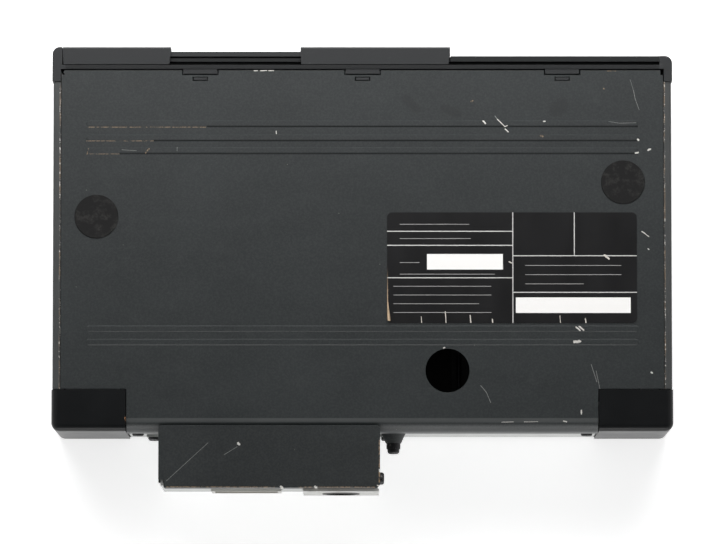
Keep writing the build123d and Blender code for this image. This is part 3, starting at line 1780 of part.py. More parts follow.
write("magazine_holder", magazine_holder())
write("lift_bracket_front", lift_bracket(bracket_front_depth, False))
write("lift_bracket_rear", lift_bracket(bracket_rear_depth, True))
write("cam_slide_front", cam_slide(cam_front_depth, False))
write("cam_slide_rear", cam_slide(cam_rear_depth, True))
write("lift_pinion", lift_pinion())
write("lift_motor", lift_motor())
write("play_unit_plate", unit_plate_shape())
write("guide_rods", guide_rods())
write("pickup_sled", pickup_sled())
write("lead_screw", lead_screw())
write("sled_motor", sled_motor())
write("spindle_motor", spindle_motor())
write("turntable", turntable())
write("magazine_case", magazine_case())
write("magazine_lid", magazine_lid())
write("magazine_handle", magazine_handle())
for number in range(tray_count):
    write("disc_tray_" + str(number + 1), disc_tray(number))
    write("disc_" + str(number + 1), disc(number))
write("eject_button", eject_button())
write("eject_lever", eject_lever())
write("lever_spring", lever_spring())
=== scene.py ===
"""Looks of the car disc changer: finishes, label print, wear, small details and the studio."""
import json
import math
import bpy
from bpy.props import FloatProperty, FloatVectorProperty, IntProperty, PointerProperty
from bpy.types import NodeSocket, Operator, Panel, PropertyGroup
from mathutils import Matrix, Vector

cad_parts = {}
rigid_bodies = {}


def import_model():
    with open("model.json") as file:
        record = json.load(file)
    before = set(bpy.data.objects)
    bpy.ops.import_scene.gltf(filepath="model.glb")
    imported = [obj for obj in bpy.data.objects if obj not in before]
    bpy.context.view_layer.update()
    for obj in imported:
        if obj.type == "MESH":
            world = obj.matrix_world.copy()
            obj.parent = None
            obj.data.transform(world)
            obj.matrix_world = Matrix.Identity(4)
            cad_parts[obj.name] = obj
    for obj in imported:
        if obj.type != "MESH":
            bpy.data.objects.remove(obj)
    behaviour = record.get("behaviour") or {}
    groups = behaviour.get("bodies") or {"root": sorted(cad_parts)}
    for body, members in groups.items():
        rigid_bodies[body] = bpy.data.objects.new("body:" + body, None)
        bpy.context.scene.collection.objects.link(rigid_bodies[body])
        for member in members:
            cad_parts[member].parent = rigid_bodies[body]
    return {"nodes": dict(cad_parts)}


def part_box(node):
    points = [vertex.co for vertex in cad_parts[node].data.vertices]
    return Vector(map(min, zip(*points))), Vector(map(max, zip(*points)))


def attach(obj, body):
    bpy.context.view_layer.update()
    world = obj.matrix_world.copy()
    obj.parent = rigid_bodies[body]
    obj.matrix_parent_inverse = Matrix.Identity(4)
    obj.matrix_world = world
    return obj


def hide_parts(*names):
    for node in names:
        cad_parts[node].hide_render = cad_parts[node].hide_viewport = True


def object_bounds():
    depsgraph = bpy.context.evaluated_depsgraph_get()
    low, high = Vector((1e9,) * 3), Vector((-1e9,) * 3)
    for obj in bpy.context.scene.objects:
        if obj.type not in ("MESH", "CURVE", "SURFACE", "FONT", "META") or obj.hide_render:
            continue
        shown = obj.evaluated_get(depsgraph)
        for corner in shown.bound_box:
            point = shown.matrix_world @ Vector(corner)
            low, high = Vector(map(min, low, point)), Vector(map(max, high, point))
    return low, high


bl_info = {
    "name": "Car disc changer looks",
    "version": (1, 0, 0),
    "blender": (4, 5, 0),
    "location": "View3D > Sidebar > Disc changer",
    "description": "Dresses the disc changer's frame with finishes, print, wear and a studio",
    "category": "Object",
}

for leftover in list(bpy.data.objects):
    bpy.data.objects.remove(leftover)
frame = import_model()
cad_low, cad_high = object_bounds()

MM = 0.001
WHITE = (1.0, 1.0, 1.0, 1.0)
ACROSS, UP = Vector((1.0, 0.0, 0.0)), Vector((0.0, 0.0, 1.0))
TRAYS = range(1, 7)
FRONT = cad_low.y
LABEL_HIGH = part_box("data_label")[1]
HANDLE_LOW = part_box("magazine_handle")[0]
TURNTABLE_LOW, TURNTABLE_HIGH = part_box("turntable")
WALL_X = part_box("chassis_tray")[1].x
# The key's box holds its stem too; the cap that shows is its upper part.
KEY_LOW, KEY_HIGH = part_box("eject_button")
KEY_CAP_HEIGHT = 9.0 * MM
KEY_LOW.z = KEY_HIGH.z - KEY_CAP_HEIGHT
# The pickup's lens lies behind the turntable's middle.
LENS_BEHIND = 24.0 * MM
PLAY_X = TURNTABLE_LOW.x / 2 + TURNTABLE_HIGH.x / 2
LENS_Y = TURNTABLE_LOW.y / 2 + TURNTABLE_HIGH.y / 2 + LENS_BEHIND
LENS_RADIUS, LENS_DEPTH, LENS_RAISED = 2.1 * MM, 0.3 * MM, 0.1 * MM
# Each step of the lens's dome: how far in and how far up, in millimetres.
LENS_STEPS = ((0.35, 0.0), (0.05, -0.12), (0.5, 0.14), (0.5, 0.06))
TICK_LENGTH, TICK_WIDTH, TICK_RADIUS = 1.8 * MM, 0.4 * MM, 10.6 * MM
FIGURE_HEIGHT, FIGURE_RADIUS = 2.4 * MM, 13.6 * MM
DIAL_ANGLES = (0, 45, 90)
NUMBER_INSET = 6.0 * MM
EJECT_RADIUS, EJECT_INSET, EJECT_RISE = 1.5 * MM, 0.2 * MM, 0.6 * MM
EJECT_BAR_LENGTH, EJECT_BAR_WIDTH, EJECT_BAR_DROP = 0.5 * MM, 2.6 * MM, 0.9 * MM
CURL_STRIP, CURL_CLEARANCE, CURL_BACK = 0.2 * MM, 0.02 * MM, 0.4 * MM
CURL_STEPS, CURL_TURN, CURL_TIP = 10, 215.0, 0.15
PAPER_THICKNESS = 0.10 * MM
MERGE_EDGES, MERGE_DETAIL = 0.002 * MM, 0.001 * MM
# Angles in degrees: still flat, sharp enough to round, and smoothed on the label's curl.
FLAT_ANGLE, SHARP_ANGLE, CURL_SMOOTH = 0.4, 32.0, 40.0
# Shares of a mark's width and rise that its bevel takes.
TICK_BEVEL, MARK_CROWN = 0.22, 0.25
FLOOR_RADIUS, FLOOR_RIM, FLOOR_GLOW = 9.0, 7.5, 0.64


def at(x, depth, height=0.0):
    """A point given in millimetres: across, back from the front face, and up."""
    return Vector((x * MM, FRONT + depth * MM, height * MM))


LAMP_AIM = at(0.0, 60.0, 30.0)
CAMERA_AIM = at(0.95, 93.1, 55.0)


# ------------------------------------------------------------------ settings
def colour_setting(name, description, default):
    return FloatVectorProperty(
        name=name, description=description, default=default, size=3, min=0, max=1, subtype="COLOR"
    )


def setting(name, description, default, **limits):
    return FloatProperty(name=name, description=description, default=default, **limits)


def length_setting(name, description, default):
    return setting(name, description, default, min=0, unit="LENGTH", precision=5)


def factor_setting(name, description, default):
    return setting(name, description, default, min=0, max=1, subtype="FACTOR")


def watts_setting(name, description, default):
    return setting(name, description + ", in watts", default)


class ChangerFinish(PropertyGroup):
    paint: colour_setting("Paint", "Satin paint on cover and box lid", (0.0102, 0.0140, 0.0150))
    side_paint: colour_setting("Side paint", "Chassis paint", (0.046, 0.049, 0.049))
    bare_metal: colour_setting("Bare metal", "Steel under chipped paint", (0.72, 0.70, 0.66))
    primer: colour_setting("Primer", "Tan undercoat beside the chips", (0.30, 0.21, 0.13))
    zinc: colour_setting("Zinc", "Zinc-plated sheet steel", (0.54, 0.55, 0.54))
    grained: colour_setting("Grained plastic", "Bezel and surround", (0.0150, 0.0163, 0.0177))
    cap: colour_setting("Cap plastic", "Glossier black rear caps", (0.0045, 0.0050, 0.0055))
    rubber: colour_setting("Seal rubber", "Matt black seals", (0.013, 0.013, 0.013))
    film: colour_setting("Label film", "Black ground of the label", (0.0055, 0.0055, 0.0060))
    print_white: colour_setting("Label print", "Rules and blank fields", (0.93, 0.92, 0.90))
    paper: colour_setting("Label back", "Tan adhesive side", (0.48, 0.36, 0.24))
    magazine: colour_setting("Magazine", "Dark magazine plastic", (0.030, 0.030, 0.033))
    tray: colour_setting("Trays", "Grey disc tray plastic", (0.11, 0.11, 0.12))
    board: colour_setting("Board", "Solder resist on the boards", (0.016, 0.105, 0.045))
    wear: factor_setting("Wear", "How strongly chips and scratches show", 1.0)


class ChangerDetail(PropertyGroup):
    moulded_edge: length_setting("Moulded edge", "Edge radius of plastic pieces", 0.35 * MM)
    sheet_edge: length_setting("Sheet edge", "Edge radius of sheet metal", 0.14 * MM)
    edge_steps: IntProperty(
        name="Edge steps", description="Faces across a rounded edge", default=2, min=1
    )
    print_rise: length_setting("Print rise", "Thickness of printed marks", 0.05 * MM)
    curl_length: length_setting("Curl length", "Length of the label's lifted edge", 9.5 * MM)
    curl_radius: length_setting("Curl radius", "Radius of the label's lifted edge", 0.75 * MM)


class ChangerStudio(PropertyGroup):
    distance: length_setting("Distance", "From the lens to the cover", 2.5)
    tilt: setting("Tilt", "Lean from straight down", math.radians(4.9), subtype="ANGLE")
    lens: setting("Lens", "Focal length in millimetres", 304.0)
    key: watts_setting("Key", "Key lamp before the front edge", 4.0)
    sheen: watts_setting("Sheen", "Low card over the front edge", 1.3)
    fill: watts_setting("Fill", "Side lamps", 1.0)
    back: watts_setting("Back", "Low lamp behind the rear face", 4.0)
    sky: factor_setting("Sky", "Dim surroundings' strength", 0.15)
    floor: colour_setting("Floor", "Pale floor", (0.88, 0.88, 0.88))


# ------------------------------------------------------------------ node tools
def opaque(colour, gain=1.0):
    """A colour times gain as a shader colour; another node's output is passed on as it is."""
    if isinstance(colour, NodeSocket):
        return colour
    return (*(min(channel * gain, 1.0) for channel in colour[:3]), 1.0)


def plan(x, depth):
    """A plan point in the shader's millimetres."""
    return (x, FRONT / MM + depth, 0.0)


class Nodes:
    """Short names for adding nodes to a tree; inputs are values or other nodes' outputs."""

    def __init__(self, tree):
        self.tree = tree

    def link(self, socket, value):
        """Feeds one socket."""
        if isinstance(value, NodeSocket):
            self.tree.links.new(value, socket)
        else:
            socket.default_value = value

    def wire(self, kind, inputs=None, out=0, **settings):
        """Adds one node, feeds its inputs and returns one of its outputs."""
        node = self.tree.nodes.new("ShaderNode" + kind)
        for key, value in settings.items():
            setattr(node, key, value)
        for key, value in (inputs or {}).items():
            self.link(node.inputs[key], value)
        return node.outputs[out]

    def shade(self, **values):
        """Feeds the surface shader's sockets, named with underscores for spaces."""
        shader = self.tree.nodes["Principled BSDF"]
        for key, value in values.items():
            self.link(shader.inputs[key.replace("_", " ")], value)

    def calc(self, operation, first, second=0.0, clamp=False):
        """One step of arithmetic between two values."""
        inputs = {0: first, 1: second}
        return self.wire("Math", inputs, operation=operation, use_clamp=clamp)

    def plus(self, first, second):
        return self.calc("ADD", first, second)

    def minus(self, first, second):
        return self.calc("SUBTRACT", first, second)

    def times(self, first, second):
        return self.calc("MULTIPLY", first, second)

    def larger(self, first, second):
        return self.calc("MAXIMUM", first, second)

    def size(self, value):
        """A value without its sign."""
        return self.calc("ABSOLUTE", value)

    def added(self, total, group, inputs):
        """Adds a node group's mark to the marks so far."""
        mark = self.wire("Group", inputs, node_tree=group)
        return mark if total is None else self.larger(total, mark)

    def fade(self, value, start, end):
        """0 at start, 1 at end, smooth between them and level beyond."""
        inputs = {"Value": value, "From Min": start, "From Max": end}
        return self.wire("MapRange", inputs, interpolation_type="SMOOTHSTEP")

    def scaled(self, value, low, high):
        """Stretches a 0 to 1 value to run from low to high."""
        return self.wire("MapRange", {"Value": value, "To Min": low, "To Max": high})

    def mixed(self, factor, first, second):
        """First colour where factor is 0, second where it is 1."""
        inputs = {0: factor, 6: opaque(first), 7: opaque(second)}
        return self.wire("Mix", inputs, out=2, data_type="RGBA")

    def vector(self, operation, *vectors, out=0):
        """One step of vector arithmetic; out is 1 where the result is a number."""
        return self.wire("VectorMath", dict(enumerate(vectors)), out=out, operation=operation)

    def resized(self, vector, factor):
        """A vector times a number."""
        return self.wire("VectorMath", {0: vector, "Scale": factor}, operation="SCALE")

    def axes(self, vector=None):
        """A vector's three coordinates, or the place's."""
        return self.wire("SeparateXYZ", {0: vector or self.place}).node.outputs

    def depth(self, y):
        """How far back from the front face a Y coordinate lies."""
        return self.minus(y, FRONT / MM)


class Surface(Nodes):
    """A new material, drawn by place on the piece, in millimetres of the part's own frame."""

    def __init__(self, name):
        self.material = bpy.data.materials.new(name)
        self.material.use_nodes = True
        super().__init__(self.material.node_tree)
        self.place = self.resized(self.wire("TexCoord", out=3), 1 / MM)

    def stretched(self, x=1.0, y=1.0, z=1.0):
        """Place with its axes scaled, for patterns that run one way."""
        return self.vector("MULTIPLY", self.place, (x, y, z))

    def noise(self, size, detail=2.0, roughness=0.5, place=None):
        """Soft noise with features of about size millimetres."""
        place = self.place if place is None else place
        inputs = {"Vector": place, "Scale": 1 / size, "Detail": detail, "Roughness": roughness}
        return self.wire("TexNoise", inputs)

    def drawn(self, size, detail, roughness, **axes):
        """Noise stretched along its axes."""
        return self.noise(size, detail, roughness, self.stretched(**axes))

    def patches(self, size, detail, roughness, start, end):
        """Noise turned into patches: 0 where it is below start and 1 above end."""
        return self.fade(self.noise(size, detail, roughness), start, end)

    def cells(self, size, feature="F1"):
        """Distance to scattered points, or to the edges between their cells, size apart."""
        return self.wire("TexVoronoi", {"Vector": self.place, "Scale": 1 / size}, feature=feature)

    def base(self, mask, colour, low, high):
        """Starts the body with a colour that mask takes from low to high times its brightness."""
        self.body = self.mixed(mask, opaque(colour, low), opaque(colour, high))

    def cover(self, mask, colour, gain=1.0):
        """Covers the body with a colour where mask is 1."""
        self.body = self.mixed(mask, self.body, opaque(colour, gain))

    def lay(self, mask, strength, colour, gain=1.0):
        """Covers the body with a colour at that strength where mask is 1."""
        self.cover(self.times(mask, strength), colour, gain)

    def strokes(self, marks, group):
        """1 on any of the marks; each is x, depth, end x, end depth and width in millimetres."""
        flat = self.stretched(z=0.0)
        jitter = self.minus(self.noise(0.55, 3.0, 0.6), 0.5)
        total = None
        for x, depth, end_x, end_depth, width in marks:
            inputs = {"Place": flat, "Start": plan(x, depth), "End": plan(end_x, end_depth)}
            total = self.added(total, group, {**inputs, "Width": width, "Jitter": jitter})
        return total

    def fields(self, rectangles, group):
        """1 inside any of the rectangles; each is left x, right x, front depth and back depth."""
        flat = self.stretched(z=0.0)
        total = None
        for left, right, front, back in rectangles:
            centre = plan((left + right) / 2, (front + back) / 2)
            half = (abs(left - right) / 2, abs(back - front) / 2, 1.0)
            total = self.added(total, group, {"Place": flat, "Centre": centre, "Half": half})
        return total

    def done(self, rough, relief=(), gloss=0.5, **others):
        """Feeds the shader and returns the material.

        Rough may be a mask and what it runs between. Relief is a 0 to 1 height, how many
        millimetres tall it stands, and its strength.
        """
        rough = self.scaled(*rough) if isinstance(rough, tuple) else rough
        self.shade(Base_Color=self.body, Roughness=rough, Specular_IOR_Level=gloss, **others)
        if relief:
            height, tall, strength = relief
            inputs = {"Strength": strength, "Distance": tall * MM, "Height": height}
            self.shade(Normal=self.wire("Bump", inputs))
        return self.material


# ------------------------------------------------------------------ drawn marks
def open_group(name, vectors, numbers=()):
    """A node group with those inputs and one output: its nodes, its inputs and its result."""
    group = bpy.data.node_groups.new(name, "ShaderNodeTree")
    for titles, kind in ((vectors, "Vector"), (numbers, "Float")):
        for title in titles:
            group.interface.new_socket(title, in_out="INPUT", socket_type="NodeSocket" + kind)
    group.interface.new_socket("Mark", in_out="OUTPUT", socket_type="NodeSocketFloat")
    given = group.nodes.new("NodeGroupInput").outputs
    return Nodes(group), given, group.nodes.new("NodeGroupOutput").inputs[0]


def stroke_group():
    """1 on a mark from Start to End, with ragged edges, and 0 off it."""
    group, given, result = open_group("stroke", ("Place", "Start", "End"), ("Width", "Jitter"))
    run = group.vector("SUBTRACT", given["Place"], given["Start"])
    line = group.vector("SUBTRACT", given["End"], given["Start"])
    along = group.vector("DOT_PRODUCT", run, line, out=1)
    whole = group.vector("DOT_PRODUCT", line, line, out=1)
    share = group.calc("DIVIDE", along, whole, clamp=True)
    away = group.vector("DISTANCE", run, group.resized(line, share), out=1)
    ragged = group.times(given["Jitter"], given["Width"])
    reach = group.calc("DIVIDE", group.plus(away, ragged), given["Width"])
    group.link(result, group.fade(reach, 0.62, 0.38))
    return group.tree


def field_group():
    """1 inside a rectangle round Centre that reaches Half each way, and 0 outside."""
    group, given, result = open_group("field", ("Place", "Centre", "Half"))
    run = group.vector("SUBTRACT", given["Place"], given["Centre"])
    away = group.vector("ABSOLUTE", run)
    beyond = group.axes(group.vector("SUBTRACT", away, given["Half"]))
    group.link(result, group.fade(group.larger(beyond[0], beyond[1]), 0.04, -0.04))
    return group.tree


# Chips through to bare steel on the cover: x, depth, end x, end depth, width, in millimetres.
COVER_CHIPS = (
    (-55.7, 30.0, -58.7, 33.0, 0.33), (-58.7, 33.0, -59.7, 32.6, 0.33),
    (-58.9, 34.0, -60.1, 35.1, 0.47), (-49.8, 30.7, -50.7, 31.7, 0.62),
    (-74.7, 30.8, -75.2, 30.8, 0.58), (-113.5, 38.3, -113.8, 38.5, 0.74),
    (-112.6, 43.9, -113.5, 43.7, 0.66), (-117.7, 42.7, -118.6, 42.3, 0.66),
    (-115.0, 76.3, -116.2, 77.2, 0.39), (-116.2, 77.2, -117.9, 78.5, 0.27),
    (-117.5, 83.5, -117.8, 83.8, 0.39), (-87.8, 115.8, -89.4, 117.2, 0.58),
    (-89.2, 115.6, -90.9, 117.1, 0.58), (-87.2, 121.9, -89.4, 121.7, 1.10),
    (-118.6, 134.4, -119.0, 134.7, 0.62), (-89.9, 150.1, -89.9, 151.5, 0.55),
    (-57.2, 154.9, -62.0, 154.8, 0.22), (-66.5, 154.8, -72.0, 154.7, 0.20),
    (-82.6, 154.5, -83.8, 154.8, 0.47), (35.5, 34.8, 35.4, 35.9, 0.35),
    (44.7, 9.8, 43.2, 9.8, 0.35), (42.0, 9.8, 39.4, 9.7, 0.39),
    (38.6, 9.8, 36.6, 9.8, 0.31), (-33.4, 124.4, -33.8, 124.2, 0.62),
)

# Chips that stop at the tan undercoat; the last three are lines along the bead edges on the worn
# side, worn paint with a painted highlight.
COVER_PRIMER_CHIPS_AND_HIGHLIGHTS = (
    (89.2, 43.9, 87.8, 42.2, 0.51), (113.3, 44.3, 112.8, 42.2, 0.42),
    (-45.0, 22.6, -45.5, 22.3, 0.68), (-73.4, 36.8, -74.3, 37.0, 0.64),
    (-99.5, 17.2, -99.9, 17.3, 0.59), (-101.0, 9.9, -104.5, 9.9, 0.26),
    (113.6, 33.2, 64.6, 33.2, 0.29), (113.6, 38.9, 86.0, 38.9, 0.29),
    (113.6, 44.3, 100.0, 44.3, 0.22),
)

# Fine scratches that only dull the paint.
COVER_SCRATCHES = (
    (-111.8, 18.0, -112.5, 21.6, 0.24), (-112.5, 21.6, -114.1, 26.0, 0.20),
    (-110.4, 13.5, -111.8, 18.0, 0.12), (-54.7, 28.6, -55.7, 30.0, 0.30),
    (-48.6, 139.9, -50.9, 142.6, 0.24), (-50.9, 142.6, -52.7, 146.9, 0.22),
    (-94.0, 131.2, -96.3, 138.4, 0.22), (-96.0, 133.8, -98.4, 145.6, 0.20),
    (-101.5, 30.9, -106.0, 31.6, 0.16), (-106.0, 31.6, -112.8, 31.4, 0.18),
    (99.0, 42.6, 93.0, 43.0, 0.16), (76.3, 41.6, 76.3, 43.0, 0.20),
)

# Painted shade along the beads' rear slopes: their depths and where each line ends on the worn
# side.
BEAD_SLOPES = ((32.9, 64.0), (38.75, 86.0), (44.1, 100.0))
BEADS_RIGHT = -113.6
BEAD_SHADE = 0.6

# Painted shade in the gaps round the bezel's three tabs and their catches: half width, front depth
# and back depth.
TAB_CENTRES = (66.8, -0.1, -82.4)
TAB_GAPS = ((7.55, 9.0, 11.6), (3.15, 12.3, 14.0))
FAR_AWAY = 1000.0

# Depths between which the cover's rear bend gets a painted highlight.
BEND_HIGHLIGHT_DEPTHS = (153.0, 154.6)

# Darker rubbed spots on the cover.
COVER_SMUDGES = (
    (-79.9, 26.0, -82.1, 24.2, 6.0), (-34.0, 25.4, -39.0, 27.4, 3.6),
    (-18.0, 21.6, -22.4, 25.6, 3.6),
)

# Painted shade: the lid takes the cover's paint made darker, for its place at the rear.
LID_SHADE = 0.8
LID_CHIPS = (
    (50.9, 163.6, 50.5, 164.0, 0.90), (33.4, 181.4, 32.8, 181.7, 0.75),
    (19.4, 181.4, 18.8, 181.7, 0.80), (-7.0, 174.4, -7.1, 175.2, 0.55),
    (-6.2, 180.9, -7.2, 181.2, 0.55),
)

LID_PRIMER_CHIPS = (
    (-7.0, 162.5, -7.0, 179.5, 0.55), (80.2, 181.5, 36.0, 181.6, 0.34),
    (26.0, 181.6, -5.0, 181.6, 0.36),
)

LID_SCRATCHES = (
    (80.4, 179.1, 71.6, 171.0, 0.18), (71.6, 171.0, 63.3, 163.4, 0.15),
    (56.7, 168.3, 51.3, 165.0, 0.18),
)

# The bezel's rail: its half width, and where the painted shade line before its groove ends.
RAIL_HALF = 122.4
RAIL_LINE_END = -36.2
CAP_NICK = (97.0, 153.4, 96.2, 155.4, 1.1)
SOCKET_MIDDLE = (8.8, 0.0, 30.0)
BARREL_RADIUS = 7.5

# The label: its edges and printed rules, in millimetres across and back.
LABEL_MIDDLE = -61.9
LABEL_SIDE_RULE = -87.2
LABEL_EDGE_LEFT = -10.2
LABEL_EDGE_RIGHT = -112.9
LABEL_FRONT = 68.5
LABEL_BACK = 114.1
LABEL_LEFT_ROWS = (76.3, 82.1, 95.5)
LABEL_RIGHT_ROWS = (86.4, 101.5)
RULE = 0.38
BLANK_FIELDS = ((-26.6, -57.8, 85.7, 92.1), (-63.1, -110.3, 103.6, 110.0))
FORM_LINE = 0.22
FORM_ROWS = (
    (-15.4, -44.0, 73.4), (-15.4, -44.6, 79.3),
    (-15.4, -23.5, 89.2), (-15.4, -54.5, 94.0),
    (-12.8, -53.0, 99.0), (-12.8, -53.0, 102.6),
    (-12.8, -48.0, 106.2), (-12.8, -53.0, 109.8),
    (-67.0, -106.5, 90.4), (-67.0, -106.5, 94.2),
    (-67.0, -91.0, 98.0),
)
# Depths between which the torn edge's paper comes to show.
TORN_DEPTHS = (90.0, 106.0)
LABEL_NICKS = (
    (-99.6, 86.2, -101.4, 87.6, 0.80), (-60.4, 88.9, -61.4, 89.4, 0.45),
    (-24.2, 111.6, -24.4, 114.0, 0.26), (-34.1, 109.4, -34.4, 114.0, 0.34),
    (-44.3, 111.0, -44.6, 114.0, 0.42), (-53.4, 112.6, -53.6, 114.0, 0.40),
    (-81.2, 111.2, -81.4, 114.0, 0.26), (-91.6, 112.2, -91.9, 114.0, 0.42),
)


# ------------------------------------------------------------------ painted steel
def rubbed_band(mat, streak, look):
    """Makes the paint paler in a band at one depth: a painted highlight where the rear bend starts.
    """
    start, end = BEND_HIGHLIGHT_DEPTHS
    depth = mat.depth(mat.axes()[1])
    band = mat.times(mat.fade(depth, start, start + 0.5), mat.fade(depth, end + 0.9, end))
    band = mat.times(band, mat.scaled(streak, 0.55, 1.0))
    mat.cover(band, look.side_paint, 1.6)


def lodged_dirt(mat):
    """1 along the beads' rear slopes and in the gaps round the bezel's tabs, where shade is
    painted.
    """
    coordinates = mat.axes()
    x, depth = coordinates[0], mat.depth(coordinates[1])
    dirt_and_shade = 0.0
    for slope, end in BEAD_SLOPES:
        away = mat.size(mat.minus(depth, slope))
        line = mat.times(mat.fade(away, 0.42, 0.26), mat.calc("LESS_THAN", x, end))
        dirt_and_shade = mat.larger(dirt_and_shade, line)
    dirt_and_shade = mat.times(dirt_and_shade, mat.calc("GREATER_THAN", x, BEADS_RIGHT))
    dirt_and_shade = mat.times(dirt_and_shade, BEAD_SHADE)
    nearest = FAR_AWAY
    for middle in TAB_CENTRES:
        nearest = mat.calc("MINIMUM", nearest, mat.size(mat.minus(x, middle)))
    for half, near, far in TAB_GAPS:
        across = mat.calc("LESS_THAN", nearest, half)
        inputs = {0: depth, 1: (near + far) / 2, 2: (far - near) / 2}
        within = mat.wire("Math", inputs, operation="COMPARE")
        dirt_and_shade = mat.larger(dirt_and_shade, mat.times(across, within))
    return dirt_and_shade


def worn_paint(name, colour, look, chips, scratches, primer_chips_and_highlights, smudges=()):
    """Satin paint with grain, handling marks and chips; smudges come with the cover's painted shade
    on its bead slopes and tab gaps, and a painted highlight on its rear bend.
    """
    mat = Surface(name)
    group = stroke_group()
    grain = mat.noise(0.22, 3.0, 0.7)
    cloud = mat.noise(38.0, 3.0, 0.55)
    streak = mat.drawn(7.0, 4.0, 0.6, x=0.25)
    tone = mat.plus(mat.times(cloud, 0.5), mat.times(streak, 0.5))
    mat.base(mat.fade(tone, 0.3, 0.7), colour, 0.90, 1.12)
    speckle = mat.patches(0.8, 3.0, 0.75, 0.40, 0.64)
    mat.lay(speckle, 0.30, look.side_paint)
    dusty = mat.patches(11.0, 5.0, 0.7, 0.52, 0.75)
    mat.lay(dusty, 0.10, look.side_paint, 1.4)
    rough = mat.scaled(mat.plus(mat.times(streak, 0.6), cloud), 0.36, 0.50)
    gloss = 0.5
    if smudges:
        # Painted highlight along the start of the rear bend.
        rubbed_band(mat, streak, look)
        # Painted shade on the bead slopes and in the tab gaps: darker paint without gloss.
        dirt_and_shade = lodged_dirt(mat)
        mat.lay(dirt_and_shade, 0.9, colour, 0.1)
        gloss = mat.scaled(dirt_and_shade, gloss, 0.0)
        mat.lay(mat.strokes(smudges, group), 0.48, colour, 0.45)
    specks = mat.fade(mat.cells(5.5), 0.055, 0.02)
    rare = mat.fade(mat.noise(9.0, 1.0), 0.56, 0.62)
    mat.lay(mat.times(specks, rare), 0.35 * look.wear, (0.30, 0.28, 0.25))
    dull = mat.strokes(scratches, group)
    mat.lay(dull, 0.55 * look.wear, (0.34, 0.34, 0.33))
    broken = mat.patches(1.4, 3.0, 0.7, 0.40, 0.56)
    # On the cover, the bead-edge lines among these are worn paint with a painted highlight.
    tan = mat.times(mat.strokes(primer_chips_and_highlights, group), 0.75 * look.wear)
    mat.lay(tan, broken, look.primer)
    bare = mat.times(mat.strokes(chips, group), look.wear)
    mat.cover(bare, look.bare_metal)
    return mat.done(rough, (grain, 0.012, 0.55), gloss, Metallic=mat.times(bare, 0.6))


def chassis_paint(look):
    """Thicker satin paint, rubbed to tan and bare steel along the flanges' inner edges."""
    mat = Surface("chassis_paint")
    grain = mat.noise(0.30, 3.0, 0.7)
    cloud = mat.noise(24.0, 4.0, 0.6)
    mat.base(cloud, look.side_paint, 0.80, 1.20)
    x = mat.size(mat.axes()[0])
    edge = mat.times(mat.fade(x, 124.0, 124.25), mat.fade(x, 124.85, 124.55))
    high = mat.fade(mat.axes()[2], 53.5, 54.4)
    edge = mat.times(edge, high)
    tan = mat.times(edge, mat.fade(mat.drawn(2.0, 4.0, 0.75, y=0.35), 0.47, 0.60))
    bare = mat.times(edge, mat.patches(1.3, 3.0, 0.8, 0.56, 0.62))
    outer = mat.times(mat.fade(x, 126.9, 127.2), high)
    rubbed = mat.times(outer, mat.patches(4.0, 4.0, 0.7, 0.52, 0.62))
    mat.lay(tan, 0.5 * look.wear, look.primer, 1.1)
    mat.lay(rubbed, 0.35 * look.wear, look.bare_metal, 0.4)
    mat.lay(bare, look.wear, look.bare_metal)
    rough = mat.scaled(cloud, 0.38, 0.54)
    return mat.done(rough, (grain, 0.015, 0.6), 0.45, Metallic=mat.times(bare, 0.6))


def zinc_sheet(look):
    """Zinc-plated sheet: rolled streaks, soft bloom and small handling scratches."""
    mat = Surface("zinc_sheet")
    rolled = mat.drawn(0.9, 4.0, 0.7, x=0.06)
    bloom = mat.noise(16.0, 4.0, 0.6)
    flakes = mat.cells(5.0)
    mat.base(bloom, look.zinc, 0.62, 1.05)
    mat.lay(flakes, 0.25, look.zinc, 1.25)
    rough = mat.plus(mat.scaled(rolled, 0.30, 0.46), mat.times(bloom, 0.12))
    return mat.done(rough, (rolled, 0.008, 0.5), Metallic=1.0)


# ------------------------------------------------------------------ mouldings, rubber and print
def rail_shade(mat, colour, specular):
    """Paints shade into the groove and a dark line before it, and returns the gloss."""
    x, y, z = mat.axes()
    depth = mat.depth(y)
    inside = mat.fade(mat.size(x), RAIL_HALF + 0.2, RAIL_HALF - 0.2)
    level = mat.times(mat.fade(depth, 3.9, 4.0), mat.fade(z, 52.0, 53.0))
    inside = mat.times(inside, level)
    shade = mat.times(inside, mat.fade(depth, 9.4, 9.2))
    line = mat.times(inside, mat.fade(depth, 4.55, 4.40))
    line = mat.times(line, mat.calc("GREATER_THAN", x, RAIL_LINE_END))
    dark = mat.larger(mat.times(shade, 0.35), line)
    mat.cover(dark, colour, 0.05)
    matt = mat.larger(mat.times(shade, 0.3), line)
    return mat.scaled(matt, specular, 0.0)


def moulded(name, colour, rough, grain_size, grain_depth, specular=0.4, scuffs=0.3, rail=False):
    """Moulded plastic with a spark-eroded grain, slow colour change and pale scuffs; the rail gets
    painted shade in its groove.
    """
    mat = Surface(name)
    grain = mat.noise(grain_size, 2.0, 0.6)
    cloud = mat.noise(30.0, 4.0, 0.6)
    rubs = mat.drawn(1.8, 5.0, 0.75, x=0.3)
    mat.base(cloud, colour, 0.84, 1.16)
    mat.lay(grain, 0.10, colour, 2.2)
    pale = mat.times(mat.fade(rubs, 0.62, 0.74), mat.fade(cloud, 0.45, 0.62))
    mat.lay(pale, scuffs, (0.26, 0.26, 0.25))
    tone = mat.plus(mat.times(grain, 0.5), mat.times(cloud, 0.5))
    rough = mat.scaled(tone, *rough)
    if rail:
        specular = rail_shade(mat, colour, specular)
    return mat.done(rough, (grain, grain_depth, 0.6), specular)


